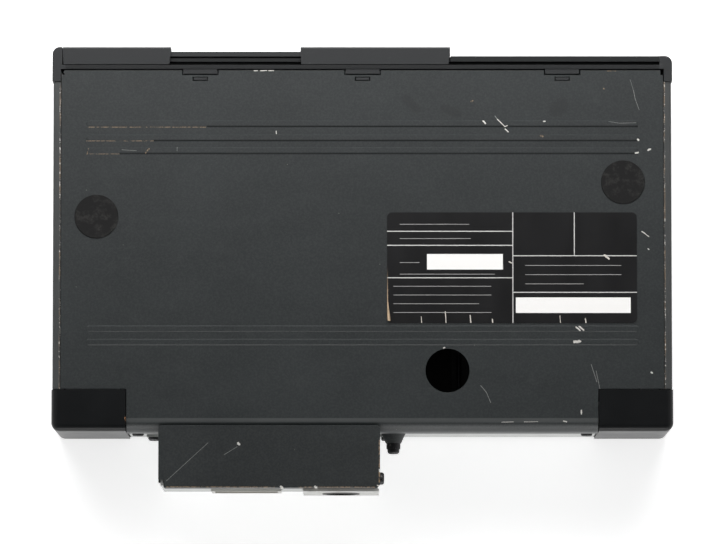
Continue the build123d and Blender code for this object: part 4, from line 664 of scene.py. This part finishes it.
def flanged_socket():
    """Light grey flange round a black barrel, told apart by the distance from its middle."""
    mat = Surface("round_socket")
    run = mat.vector("SUBTRACT", mat.place, SOCKET_MIDDLE)
    away = mat.vector("LENGTH", mat.vector("MULTIPLY", run, (1.0, 0.0, 1.0)), out=1)
    plate = mat.fade(away, BARREL_RADIUS + 0.1, BARREL_RADIUS + 0.4)
    grain = mat.noise(0.25, 2.0, 0.6)
    soil = mat.patches(4.0, 4.0, 0.65, 0.45, 0.70)
    mat.body = (0.60, 0.60, 0.58)
    mat.lay(soil, 0.35, (0.30, 0.28, 0.24))
    black = mat.mixed(grain, (0.012,) * 3, (0.018,) * 3)
    mat.body = mat.mixed(plate, black, mat.body)
    return mat.done((soil, 0.36, 0.52), (grain, 0.008, 0.5), 0.4)


def cap_plastic(look):
    """Glossier black end caps, with a copper-coloured nick where the right one has rubbed."""
    mat = Surface("cap_plastic")
    grain = mat.noise(0.35, 2.0, 0.6)
    cloud = mat.noise(14.0, 4.0, 0.65)
    mat.base(cloud, look.cap, 0.9, 1.6)
    hairs = mat.drawn(0.8, 4.0, 0.8, x=0.12, y=1.4)
    pale = mat.times(mat.fade(hairs, 0.66, 0.74), mat.fade(cloud, 0.5, 0.62))
    mat.lay(pale, 0.30 * look.wear, (0.25, 0.25, 0.25))
    nick = mat.strokes((CAP_NICK,), stroke_group())
    mat.lay(nick, 0.8, (0.55, 0.27, 0.14))
    return mat.done((cloud, 0.28, 0.42), (grain, 0.010, 0.45), 0.2)


def seal_rubber(look):
    """Matt rubber that holds a little pale dust."""
    mat = Surface("seal_rubber")
    grain = mat.noise(0.28, 3.0, 0.7)
    dust = mat.patches(3.2, 5.0, 0.7, 0.48, 0.72)
    mat.body = look.rubber
    mat.lay(dust, 0.06, (0.32, 0.31, 0.29))
    return mat.done((grain, 0.70, 0.88), (grain, 0.03, 0.6), 0.15)


def label_rules():
    """The label's printed rules as rectangles for fields."""
    half = RULE / 2
    left, middle, right = LABEL_EDGE_LEFT, LABEL_MIDDLE, LABEL_EDGE_RIGHT
    rules = [(middle + half, middle - half, LABEL_FRONT, LABEL_BACK)]
    side = LABEL_SIDE_RULE
    rules.append((side + half, side - half, LABEL_FRONT, LABEL_RIGHT_ROWS[0]))
    rules += [(left, middle, row - half, row + half) for row in LABEL_LEFT_ROWS]
    rules += [(middle, right, row - half, row + half) for row in LABEL_RIGHT_ROWS]
    return rules


def label_film(look):
    """Black film with printed rules, blank white fields, edge cracks and shallow bubbles."""
    mat = Surface("label_film")
    field = field_group()
    stroke = stroke_group()
    half = FORM_LINE / 2
    faint = [(start, end, row - half, row + half) for start, end, row in FORM_ROWS]
    crease = mat.drawn(9.0, 4.0, 0.6, x=0.9, y=0.35)
    bubbles = mat.fade(mat.drawn(6.0, 2.0, 0.5, y=0.45), 0.52, 0.78)
    mat.base(crease, look.film, 0.7, 1.7)
    worn = mat.scaled(mat.patches(0.7, 4.0, 0.7, 0.30, 0.44), 0.72, 1.0)
    lines = mat.times(mat.fields(label_rules(), field), worn)
    rows = mat.times(mat.fields(faint, field), 0.42)
    blanks = mat.fields(BLANK_FIELDS, field)
    mat.cover(rows, look.print_white)
    mat.cover(lines, look.print_white, 0.68)
    mat.cover(blanks, look.print_white, 1.06)
    nicks = mat.strokes(LABEL_NICKS, stroke)
    mat.lay(nicks, 0.9 * look.wear, (0.70, 0.66, 0.60))
    x = mat.axes()[0]
    frayed = mat.times(mat.minus(mat.noise(1.1, 4.0, 0.7), 0.5), 0.9)
    torn = mat.fade(mat.plus(x, frayed), LABEL_EDGE_LEFT - 0.42, LABEL_EDGE_LEFT - 0.22)
    depth = mat.depth(mat.axes()[1])
    torn = mat.times(torn, mat.fade(depth, *TORN_DEPTHS))
    mat.lay(torn, 0.75 * look.wear, look.paper, 1.2)
    rough = mat.scaled(crease, 0.30, 0.46)
    relief = (mat.plus(bubbles, crease), 0.05, 0.35)
    return mat.done(rough, relief, 0.3)


def paper_back(look):
    """Tan adhesive side of the lifted label edge, with fibres and a little dirt."""
    mat = Surface("label_paper")
    fibres = mat.drawn(0.5, 5.0, 0.75, x=1.6, y=0.5)
    dirt_and_shade = mat.patches(1.6, 3.0, 0.6, 0.5, 0.75)
    mat.base(fibres, look.paper, 0.75, 1.45)
    mat.lay(dirt_and_shade, 0.45, (0.12, 0.09, 0.06))
    return mat.done((fibres, 0.62, 0.82), (fibres, 0.03, 0.6), 0.3)


# ------------------------------------------------------------------ bare metal, boards and discs
def plain_metal(name, colour, *rough):
    """Drawn or turned metal with fine marks that run along one axis."""
    mat = Surface(name)
    drawn = mat.drawn(0.35, 4.0, 0.7, z=0.08)
    cloud = mat.noise(6.0, 3.0, 0.6)
    mat.base(cloud, colour, 0.80, 1.12)
    return mat.done((drawn, *rough), (drawn, 0.006, 0.5), Metallic=1.0)


def black_screw():
    """Blackened screw heads rubbed bright where the driver has slipped."""
    mat = Surface("screw_black")
    rubs = mat.patches(0.7, 4.0, 0.75, 0.58, 0.70)
    mat.body = (0.03, 0.03, 0.032)
    mat.lay(rubs, 0.5, (0.45, 0.43, 0.40))
    rough = mat.scaled(rubs, 0.42, 0.30)
    return mat.done(rough, (mat.noise(0.3), 0.01, 0.5), Metallic=0.7)


def circuit_board(look):
    """Solder resist over fine copper tracks, with tinned pads."""
    mat = Surface("circuit_board")
    tracks = mat.fade(mat.cells(5.0, "DISTANCE_TO_EDGE"), 0.10, 0.06)
    mat.body = look.board
    mat.lay(tracks, 0.55, look.board, 2.1)
    pads = mat.fade(mat.cells(4.2), 0.16, 0.13)
    mat.cover(pads, (0.62, 0.62, 0.60))
    rough = mat.scaled(pads, 0.34, 0.26)
    return mat.done(rough, (tracks, 0.03, 0.6), Metallic=mat.times(pads, 0.8))


def flat_cable():
    """Pale film cable with its tinned conductors showing as fine stripes along it."""
    mat = Surface("cable_film")
    stripe = mat.calc("FRACT", mat.axes()[0])
    wires = mat.times(mat.fade(stripe, 0.22, 0.30), mat.fade(stripe, 0.78, 0.70))
    mat.body = mat.mixed(wires, (0.74, 0.73, 0.68), (0.50, 0.50, 0.50))
    soil = mat.noise(5.0, 3.0, 0.6)
    mat.lay(soil, 0.25, (0.42, 0.38, 0.30))
    return mat.done((soil, 0.28, 0.42), (wires, 0.03, 0.6))


def silvered_disc(index):
    """A disc: clear hub, stamped ring and a recorded area that splits light along its grooves."""
    mat = Surface(f"disc_mirror_{index}")
    low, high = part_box(f"disc_{index}")
    run = mat.vector("SUBTRACT", mat.place, tuple((low + high) / 2 / MM))
    radius = mat.vector("LENGTH", mat.vector("MULTIPLY", run, (1.0, 1.0, 0.0)), out=1)
    hub = mat.fade(radius, 22.8, 22.2)
    ring = mat.times(mat.fade(radius, 16.4, 16.7), mat.fade(radius, 17.7, 17.4))
    rim = mat.fade(radius, 58.2, 58.6)
    groove = mat.noise(0.6, 2.0, 0.6, mat.wire("CombineXYZ", {0: radius}))
    clear = mat.larger(hub, rim)
    mat.body = mat.mixed(groove, (0.70, 0.73, 0.78), (0.86, 0.86, 0.88))
    mat.cover(clear, (0.62, 0.64, 0.66))
    mat.cover(ring, (0.35, 0.36, 0.38))
    rough = mat.scaled(clear, 0.08, 0.20)
    metal = mat.scaled(clear, 1.0, 0.35)
    relief = (mat.plus(ring, groove), 0.01, 0.4)
    return mat.done(rough, relief, Metallic=metal, Anisotropic=0.6)


def lens_glass():
    """Clear lens with a faint blue bloom."""
    mat = Surface("lens_glass")
    bloom = mat.noise(2.5)
    mat.body = mat.mixed(bloom, (0.30, 0.36, 0.60), (0.45, 0.50, 0.72))
    return mat.done((bloom, 0.03, 0.07), Coat_Weight=0.6)


# ------------------------------------------------------------------ modelling tools
def only(piece):
    """Selects one object alone and makes it active."""
    for other in bpy.context.view_layer.objects:
        other.select_set(other is piece)
    bpy.context.view_layer.objects.active = piece


def added(name):
    """Names the object that an add operator has just made, and leaves it alone selected."""
    piece = bpy.context.object
    piece.name = name
    piece.data.name = name
    only(piece)
    return piece


def settle(piece):
    """Writes the object's place, turn and scale into its mesh."""
    only(piece)
    bpy.ops.object.transform_apply(location=True, rotation=True, scale=True)
    return piece


def apply_modifier(piece, kind, **settings):
    """Adds a modifier with its settings and applies it."""
    only(piece)
    modifier = piece.modifiers.new(kind.lower(), kind)
    for key, value in settings.items():
        setattr(modifier, key, value)
    bpy.ops.object.modifier_apply(modifier=modifier.name)


def mode(name):
    """Switches the active piece to that mode."""
    bpy.ops.object.mode_set(mode=name)


def merge(piece, threshold, *steps):
    """Merges points closer than threshold, then runs other edit-mode steps on the whole mesh."""
    only(piece)
    mode("EDIT")
    bpy.ops.mesh.select_all(action="SELECT")
    bpy.ops.mesh.remove_doubles(threshold=threshold)
    for step in steps:
        step()
    mode("OBJECT")


def pick(piece, parts, wanted):
    """Selects, in edit mode, the polygons or vertices for which wanted(part) is true."""
    only(piece)
    mode("EDIT")
    bpy.ops.mesh.select_mode(type={"polygons": "FACE", "vertices": "VERT"}[parts])
    bpy.ops.mesh.select_all(action="DESELECT")
    mode("OBJECT")
    for part in getattr(piece.data, parts):
        part.select = wanted(part)
    mode("EDIT")


def inset(piece, wanted, *steps):
    """Insets the wanted faces once for each thickness and depth."""
    pick(piece, "polygons", wanted)
    for thickness, depth in steps:
        bpy.ops.mesh.inset(thickness=thickness, depth=depth)
    mode("OBJECT")


def faces_up(face):
    """Whether a face looks up."""
    return face.normal.z > 0.5


def smooth(piece, angle):
    """Smooths the faces that meet at less than that angle, in degrees."""
    only(piece)
    bpy.ops.object.shade_smooth_by_angle(angle=math.radians(angle))


def joined(pieces, name):
    """Joins the pieces' meshes into the first one."""
    for other in bpy.context.view_layer.objects:
        other.select_set(other in pieces)
    bpy.context.view_layer.objects.active = pieces[0]
    bpy.ops.object.join()
    return added(name)


def dress(piece, material):
    """Gives the piece one finish all over."""
    piece.data.materials.clear()
    piece.data.materials.append(material)
    return piece


def finish(material, *nodes):
    """Gives framed pieces their finish through their own material slots."""
    for node in nodes:
        for slot in frame["nodes"][node].material_slots:
            slot.material = material


def rounded_copy(node, width, steps, body):
    """A merged copy of a framed piece with its sharp edges rounded, shown in its place."""
    source = frame["nodes"][node]
    piece = source.copy()
    piece.data = source.data.copy()
    bpy.context.scene.collection.objects.link(piece)
    for key in list(piece.keys()):
        del piece[key]
    piece.parent = None
    piece.matrix_world = Matrix.Identity(4)
    piece.name = piece.data.name = node + "_rounded"
    only(piece)
    if piece.data.has_custom_normals:
        bpy.ops.mesh.customdata_custom_splitnormals_clear()
    flat = math.radians(FLAT_ANGLE)
    merge(piece, MERGE_EDGES, lambda: bpy.ops.mesh.dissolve_limited(angle_limit=flat))
    sharp = math.radians(SHARP_ANGLE)
    apply_modifier(
        piece, "BEVEL", width=width, segments=steps, limit_method="ANGLE", angle_limit=sharp
    )
    smooth(piece, SHARP_ANGLE)
    apply_modifier(piece, "WEIGHTED_NORMAL", weight=100, keep_sharp=True)
    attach(piece, body)
    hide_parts(node)


def raised_text(body_text, height, rise, name):
    """A short run of figures as a thin raised mesh, flat on the ground plane and facing up."""
    bpy.ops.object.text_add()
    piece = added(name)
    piece.data.body = body_text
    piece.data.size = height
    piece.data.align_x = piece.data.align_y = "CENTER"
    piece.data.extrude = rise / 2
    bpy.ops.object.convert(target="MESH")
    piece = added(name)
    merge(piece, MERGE_DETAIL)
    return piece


def tick(length, width, rise, name):
    """A small rounded bar, flat on the ground plane and pointing along Y."""
    bpy.ops.mesh.primitive_cube_add(size=1.0)
    piece = added(name)
    piece.scale = (width, length, rise)
    settle(piece)
    inset(piece, faces_up, (width * TICK_BEVEL, rise * MARK_CROWN))
    return piece


def onto(piece, matrix):
    """Places a flat piece by a matrix and writes the place into its mesh."""
    piece.matrix_world = matrix
    return settle(piece)


def facing(point, right, up):
    """The matrix that lays a flat piece at a point with its right and up along those directions."""
    out = Vector(right).cross(Vector(up))
    turn = Matrix((right, up, out)).transposed().to_4x4()
    return Matrix.Translation(point) @ turn


# ------------------------------------------------------------------ operators
class CHANGER_OT_case_paint(Operator):
    """Paint the cover, box lid and chassis"""
    bl_idname = "changer.case_paint"
    bl_label = "Case paint"

    def execute(self, context):
        look = context.scene.changer_finish
        cover = worn_paint(
            "cover_paint", look.paint, look, COVER_CHIPS, COVER_SCRATCHES, COVER_PRIMER_CHIPS_AND_HIGHLIGHTS,
            COVER_SMUDGES,
        )
        lid = worn_paint(
            "lid_paint", opaque(look.paint, LID_SHADE), look, LID_CHIPS, LID_SCRATCHES,
            LID_PRIMER_CHIPS,
        )
        finish(cover, "top_cover")
        finish(lid, "interface_lid", "rear_boss")
        finish(chassis_paint(look), "chassis_tray")
        return {"FINISHED"}


class CHANGER_OT_mouldings(Operator):
    """Finish the plastic and rubber pieces"""
    bl_idname = "changer.mouldings"
    bl_label = "Mouldings"

    def execute(self, context):
        look = context.scene.changer_finish
        grained = (look.grained, (0.42, 0.58), 0.32, 0.02)
        finish(moulded("bezel_rail", *grained, rail=True), "front_bezel")
        finish(
            moulded("bezel_plastic", *grained),
            "slot_surround", "shutter_leaf_front", "shutter_leaf_rear",
        )
        finish(cap_plastic(look), "corner_cap_left", "corner_cap_right")
        finish(seal_rubber(look), "hole_seals", "deck_dampers")
        finish(
            moulded("key_plastic", (0.24, 0.24, 0.25), (0.40, 0.52), 0.25, 0.012),
            "eject_button", "suspension_dial_left", "suspension_dial_right",
        )
        finish(
            moulded("socket_plastic", (0.014, 0.014, 0.015), (0.34, 0.46), 0.20, 0.008),
            "pickup_sled",
        )
        finish(flanged_socket(), "round_socket")
        finish(
            moulded("magazine_plastic", look.magazine, (0.34, 0.50), 0.35, 0.02),
            "magazine_case", "magazine_lid", "magazine_handle",
        )
        finish(
            moulded("mechanism_plastic", (0.62, 0.61, 0.57), (0.34, 0.46), 0.25, 0.006, 0.5, 0.15),
            "cam_slide_front", "cam_slide_rear", "lift_pinion", "turntable", "power_socket",
        )
        finish(
            moulded("black_sheet", (0.011, 0.011, 0.012), (0.40, 0.55), 0.30, 0.006, 0.3, 0.1),
            "play_unit_plate",
        )
        tray = moulded("tray_plastic", look.tray, (0.36, 0.50), 0.30, 0.012)
        finish(tray, *(f"disc_tray_{index}" for index in TRAYS))
        return {"FINISHED"}


class CHANGER_OT_metalwork(Operator):
    """Finish the plated sheet, screws, springs, motors and contacts"""
    bl_idname = "changer.metalwork"
    bl_label = "Metalwork"

    def execute(self, context):
        look = context.scene.changer_finish
        steel = plain_metal("spring_steel", (0.55, 0.55, 0.56), 0.16, 0.30)
        can = plain_metal("motor_steel", (0.50, 0.50, 0.50), 0.26, 0.40)
        gold = plain_metal("contact_gold", (0.80, 0.62, 0.28), 0.18, 0.30)
        finish(
            zinc_sheet(look), "rear_panel", "mounting_nuts", "interface_box", "mechanism_deck",
            "magazine_holder", "lift_bracket_front", "lift_bracket_rear", "eject_lever",
        )
        finish(steel, "deck_springs", "lever_spring")
        rod = plain_metal("rod_steel", (0.10, 0.10, 0.105), 0.34, 0.48)
        finish(rod, "guide_rods", "lead_screw")
        finish(can, "lift_motor", "sled_motor", "spindle_motor")
        finish(gold, "socket_pins")
        finish(black_screw(), "rear_boss_screw", "case_screws")
        return {"FINISHED"}


class CHANGER_OT_electronics(Operator):
    """Finish the circuit boards, the flat cable and the discs"""
    bl_idname = "changer.electronics"
    bl_label = "Boards, cable and discs"

    def execute(self, context):
        board = circuit_board(context.scene.changer_finish)
        finish(board, "main_board", "interface_board")
        finish(flat_cable(), "link_cable")
        for index in TRAYS:
            finish(silvered_disc(index), f"disc_{index}")
        return {"FINISHED"}


class CHANGER_OT_label(Operator):
    """Print the label and lift its torn edge"""
    bl_idname = "changer.label"
    bl_label = "Label"

    def execute(self, context):
        look = context.scene.changer_finish
        detail = context.scene.changer_detail
        finish(label_film(look), "data_label")
        length, radius = detail.curl_length, detail.curl_radius
        left, top = LABEL_HIGH.x, LABEL_HIGH.z
        back = LABEL_HIGH.y - CURL_BACK
        place = (left - radius, back - length / 2, top + CURL_CLEARANCE)
        bpy.ops.mesh.primitive_plane_add(size=1.0, location=place)
        piece = added("label_curl")
        piece.scale = (CURL_STRIP, length, 1.0)
        settle(piece)
        self.roll(piece, radius)
        self.taper(piece, back - length)
        merge(piece, MERGE_DETAIL)
        apply_modifier(piece, "SOLIDIFY", thickness=PAPER_THICKNESS, offset=1.0)
        apply_modifier(piece, "SUBSURF", levels=1, render_levels=1)
        smooth(piece, CURL_SMOOTH)
        dress(piece, paper_back(look))
        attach(piece, "housing")
        return {"FINISHED"}

    def roll(self, piece, radius):
        """Spins the strip's outer edge up and back over the label."""
        outer = max(vertex.co.x for vertex in piece.data.vertices)
        pick(piece, "vertices", lambda point: point.co.x > outer - 0.001 * MM)
        centre, turn = (outer, 0.0, LABEL_HIGH.z + radius), math.radians(CURL_TURN)
        bpy.ops.mesh.spin(steps=CURL_STEPS, angle=turn, center=centre, axis=(0.0, -1.0, 0.0))
        mode("OBJECT")

    def taper(self, piece, front):
        """Draws the curl in to almost nothing at the front end of the torn edge."""
        pick(piece, "vertices", lambda point: point.co.y < front + 0.01 * MM)
        centre = (LABEL_HIGH.x, front, LABEL_HIGH.z)
        bpy.ops.transform.resize(value=(CURL_TIP, 1.0, CURL_TIP), center_override=centre)
        mode("OBJECT")


class CHANGER_OT_marks(Operator):
    """Raise the dial scales, tray numbers and eject mark, and set the pickup's lens"""
    bl_idname = "changer.marks"
    bl_label = "Small marks"

    def execute(self, context):
        white = context.scene.changer_finish.print_white
        rise = context.scene.changer_detail.print_rise
        ink = moulded("mark_ink", white, (0.35, 0.50), 0.20, 0.004, 0.3, 0.1)
        for side, name in ((1, "left"), (-1, "right")):
            self.dial_scale(side, name, rise, ink)
        self.tray_numbers(rise, ink)
        self.eject_mark(rise, ink)
        self.lens()
        return {"FINISHED"}

    def dial_scale(self, side, name, rise, ink):
        """Three ticks and their angles round a suspension dial, on the side wall."""
        low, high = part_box("suspension_dial_" + name)
        centre = (low + high) / 2
        centre.x = side * WALL_X
        out = Vector((side, 0.0, 0.0))
        pieces = []
        for angle in DIAL_ANGLES:
            turn = math.radians(angle)
            radial = Vector((0.0, -math.sin(turn), math.cos(turn)))
            mark = tick(TICK_LENGTH, TICK_WIDTH, rise, "tick")
            across = radial.cross(out)
            pieces.append(onto(mark, facing(centre + radial * TICK_RADIUS, across, radial)))
            figure = raised_text(str(angle), FIGURE_HEIGHT, rise, "figure")
            upright = facing(centre + radial * FIGURE_RADIUS, (0.0, side, 0.0), UP)
            pieces.append(onto(figure, upright))
        scale = dress(joined(pieces, "dial_scale_" + name), ink)
        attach(scale, "housing")

    def tray_numbers(self, rise, ink):
        """The six trays' numbers on the magazine's handle, each level with its tray."""
        pieces = []
        for index in TRAYS:
            low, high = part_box(f"disc_tray_{index}")
            point = Vector((HANDLE_LOW.x + NUMBER_INSET, HANDLE_LOW.y, (low.z + high.z) / 2))
            figure = raised_text(str(index), FIGURE_HEIGHT, rise, "figure")
            pieces.append(onto(figure, facing(point, ACROSS, UP)))
        numbers = dress(joined(pieces, "tray_numbers"), ink)
        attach(numbers, "magazine")

    def eject_mark(self, rise, ink):
        """A triangle over a bar on the eject key."""
        centre = (KEY_LOW + KEY_HIGH) / 2
        centre.y = KEY_LOW.y
        bpy.ops.mesh.primitive_cylinder_add(vertices=3, radius=EJECT_RADIUS, depth=rise)
        triangle = added("triangle")
        inset(triangle, faces_up, (EJECT_INSET, rise * MARK_CROWN))
        bar = tick(EJECT_BAR_LENGTH, EJECT_BAR_WIDTH, rise, "bar")
        onto(triangle, facing(centre + UP * EJECT_RISE, ACROSS, UP))
        onto(bar, facing(centre - UP * EJECT_BAR_DROP, ACROSS, UP))
        mark = dress(joined([triangle, bar], "eject_mark"), ink)
        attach(mark, "eject_key")

    def lens(self):
        """A domed lens on the pickup's turret."""
        place = (PLAY_X, LENS_Y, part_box("pickup_sled")[1].z + LENS_RAISED)
        bpy.ops.mesh.primitive_cylinder_add(
            vertices=40, radius=LENS_RADIUS, depth=LENS_DEPTH, location=place
        )
        piece = settle(added("pickup_lens"))
        inset(piece, faces_up, *((inward * MM, up * MM) for inward, up in LENS_STEPS))
        smooth(piece, SHARP_ANGLE)
        dress(piece, lens_glass())
        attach(piece, "sled")


class CHANGER_OT_rounded_edges(Operator):
    """Round the edges of the mouldings and sheet pieces that show"""
    bl_idname = "changer.rounded_edges"
    bl_label = "Rounded edges"

    def execute(self, context):
        detail = context.scene.changer_detail
        plastic, sheet, steps = detail.moulded_edge, detail.sheet_edge, detail.edge_steps
        pieces = (
            ("front_bezel", plastic, "housing", "bezel_plastic"),
            ("slot_surround", plastic, "housing", "bezel_plastic"),
            ("corner_cap_left", plastic, "housing", "cap_plastic"),
            ("corner_cap_right", plastic, "housing", "cap_plastic"),
            ("interface_lid", sheet, "housing", "case_paint"),
            ("top_cover", sheet, "housing", "case_paint"),
            ("magazine_handle", plastic, "magazine", "magazine_plastic"),
            ("eject_button", plastic, "eject_key", "key_plastic"),
            ("shutter_leaf_front", sheet, "shutter_front", "bezel_plastic"),
            ("round_socket", sheet, "housing", "socket_plastic"),
            ("power_socket", sheet, "housing", "socket_plastic"),
        )
        for node, width, body, slot in pieces:
            rounded_copy(node, width, steps, body)
        return {"FINISHED"}


class CHANGER_OT_studio(Operator):
    """Build the pale floor, the soft lamps and the camera"""
    bl_idname = "changer.studio"
    bl_label = "Studio"

    def execute(self, context):
        studio = context.scene.changer_studio
        self.floor(studio)
        self.world(context, studio)
        self.lamp("key_lamp", (0.05, -0.52, 0.50), (0.9, 0.4), studio.key)
        self.lamp("sheen_card", (0.02, -0.30, 0.40), (0.7, 0.3), studio.sheen)
        self.lamp("left_lamp", (0.95, 0.10, 0.80), (0.8, 0.8), studio.fill)
        self.lamp("right_lamp", (-0.95, 0.15, 0.80), (0.8, 0.8), studio.fill)
        self.lamp("back_lamp", (0.0, 0.95, 0.20), (1.2, 0.3), studio.back)
        self.camera(context, studio)
        context.scene.view_settings.view_transform = "Standard"
        return {"FINISHED"}

    def floor(self, studio):
        """A wide pale floor that shows white to the camera but for the object's shadow."""
        bpy.ops.mesh.primitive_circle_add(vertices=64, radius=FLOOR_RADIUS, fill_type="NGON")
        piece = added("studio_floor")
        inset(piece, lambda face: True, (FLOOR_RIM, 0.0))
        settle(piece)
        material = bpy.data.materials.new("floor_white")
        material.use_nodes = True
        mat = Nodes(material.node_tree)
        path = mat.wire("LightPath").node.outputs
        seen = mat.larger(path["Is Camera Ray"], path["Is Glossy Ray"])
        seen = mat.larger(seen, path["Is Transmission Ray"])
        mat.shade(
            Base_Color=opaque(studio.floor), Roughness=0.9, Specular_IOR_Level=0.1,
            Emission_Color=WHITE, Emission_Strength=mat.times(seen, FLOOR_GLOW),
        )
        dress(piece, material)

    def world(self, context, studio):
        """Dim soft surroundings, white behind the object and dark overhead for reflections."""
        world = bpy.data.worlds.new("studio_world")
        context.scene.world = world
        world.use_nodes = True
        world.node_tree.nodes.clear()
        sky = Nodes(world.node_tree)
        path = sky.wire("LightPath").node.outputs
        low_down = sky.fade(sky.axes(sky.wire("TexCoord"))[2], 0.50, 0.20)
        mirrored = sky.larger(path["Is Glossy Ray"], path["Is Transmission Ray"])
        white = sky.larger(path["Is Camera Ray"], sky.times(mirrored, low_down))
        grey = sky.wire("Background", {"Color": WHITE, "Strength": studio.sky})
        bright = sky.wire("Background", {"Color": WHITE, "Strength": 1.0})
        surface = sky.wire("MixShader", {0: white, 1: grey, 2: bright})
        output = world.node_tree.nodes.new("ShaderNodeOutputWorld")
        sky.link(output.inputs["Surface"], surface)

    def lamp(self, name, place, size, power):
        """A soft rectangular lamp aimed at the piece's middle."""
        turn = (Vector(place) - LAMP_AIM).to_track_quat("Z", "Y").to_euler()
        bpy.ops.object.light_add(type="AREA", location=place, rotation=turn)
        lamp = added(name)
        lamp.data.shape = "RECTANGLE"
        lamp.data.size, lamp.data.size_y = size
        lamp.data.energy = power
        lamp.visible_camera = False

    def camera(self, context, studio):
        """The view straight down on the cover, leaning a little from the rear."""
        away = Vector((0.0, math.sin(studio.tilt), math.cos(studio.tilt)))
        bpy.ops.object.camera_add()
        camera = added("camera")
        turn = Matrix((-ACROSS, away.cross(-ACROSS), away)).transposed().to_4x4()
        camera.matrix_world = Matrix.Translation(CAMERA_AIM + away * studio.distance) @ turn
        camera.data.sensor_width = 36.0
        camera.data.lens = studio.lens
        camera.data.clip_end = 50.0
        context.scene.camera = camera


class CHANGER_PT_panel(Panel):
    """Buttons for the changer's looks"""
    bl_idname = "CHANGER_PT_panel"
    bl_label = "Disc changer"
    bl_space_type = "VIEW_3D"
    bl_region_type = "UI"
    bl_category = "Disc changer"

    def draw(self, context):
        for step in STEPS:
            self.layout.operator(step.bl_idname)


STEPS = (
    CHANGER_OT_case_paint,
    CHANGER_OT_mouldings,
    CHANGER_OT_metalwork,
    CHANGER_OT_electronics,
    CHANGER_OT_label,
    CHANGER_OT_marks,
    CHANGER_OT_rounded_edges,
    CHANGER_OT_studio,
)
GROUPS = {
    "changer_finish": ChangerFinish,
    "changer_detail": ChangerDetail,
    "changer_studio": ChangerStudio,
}


def register():
    for cls in (*GROUPS.values(), *STEPS, CHANGER_PT_panel):
        bpy.utils.register_class(cls)
    for name, cls in GROUPS.items():
        setattr(bpy.types.Scene, name, PointerProperty(type=cls))


def unregister():
    for name in GROUPS:
        delattr(bpy.types.Scene, name)
    for cls in reversed((*GROUPS.values(), *STEPS, CHANGER_PT_panel)):
        bpy.utils.unregister_class(cls)


def main():
    register()
    for step in STEPS:
        family, name = step.bl_idname.split(".")
        getattr(getattr(bpy.ops, family), name)()


if __name__ == "__main__":
    main()
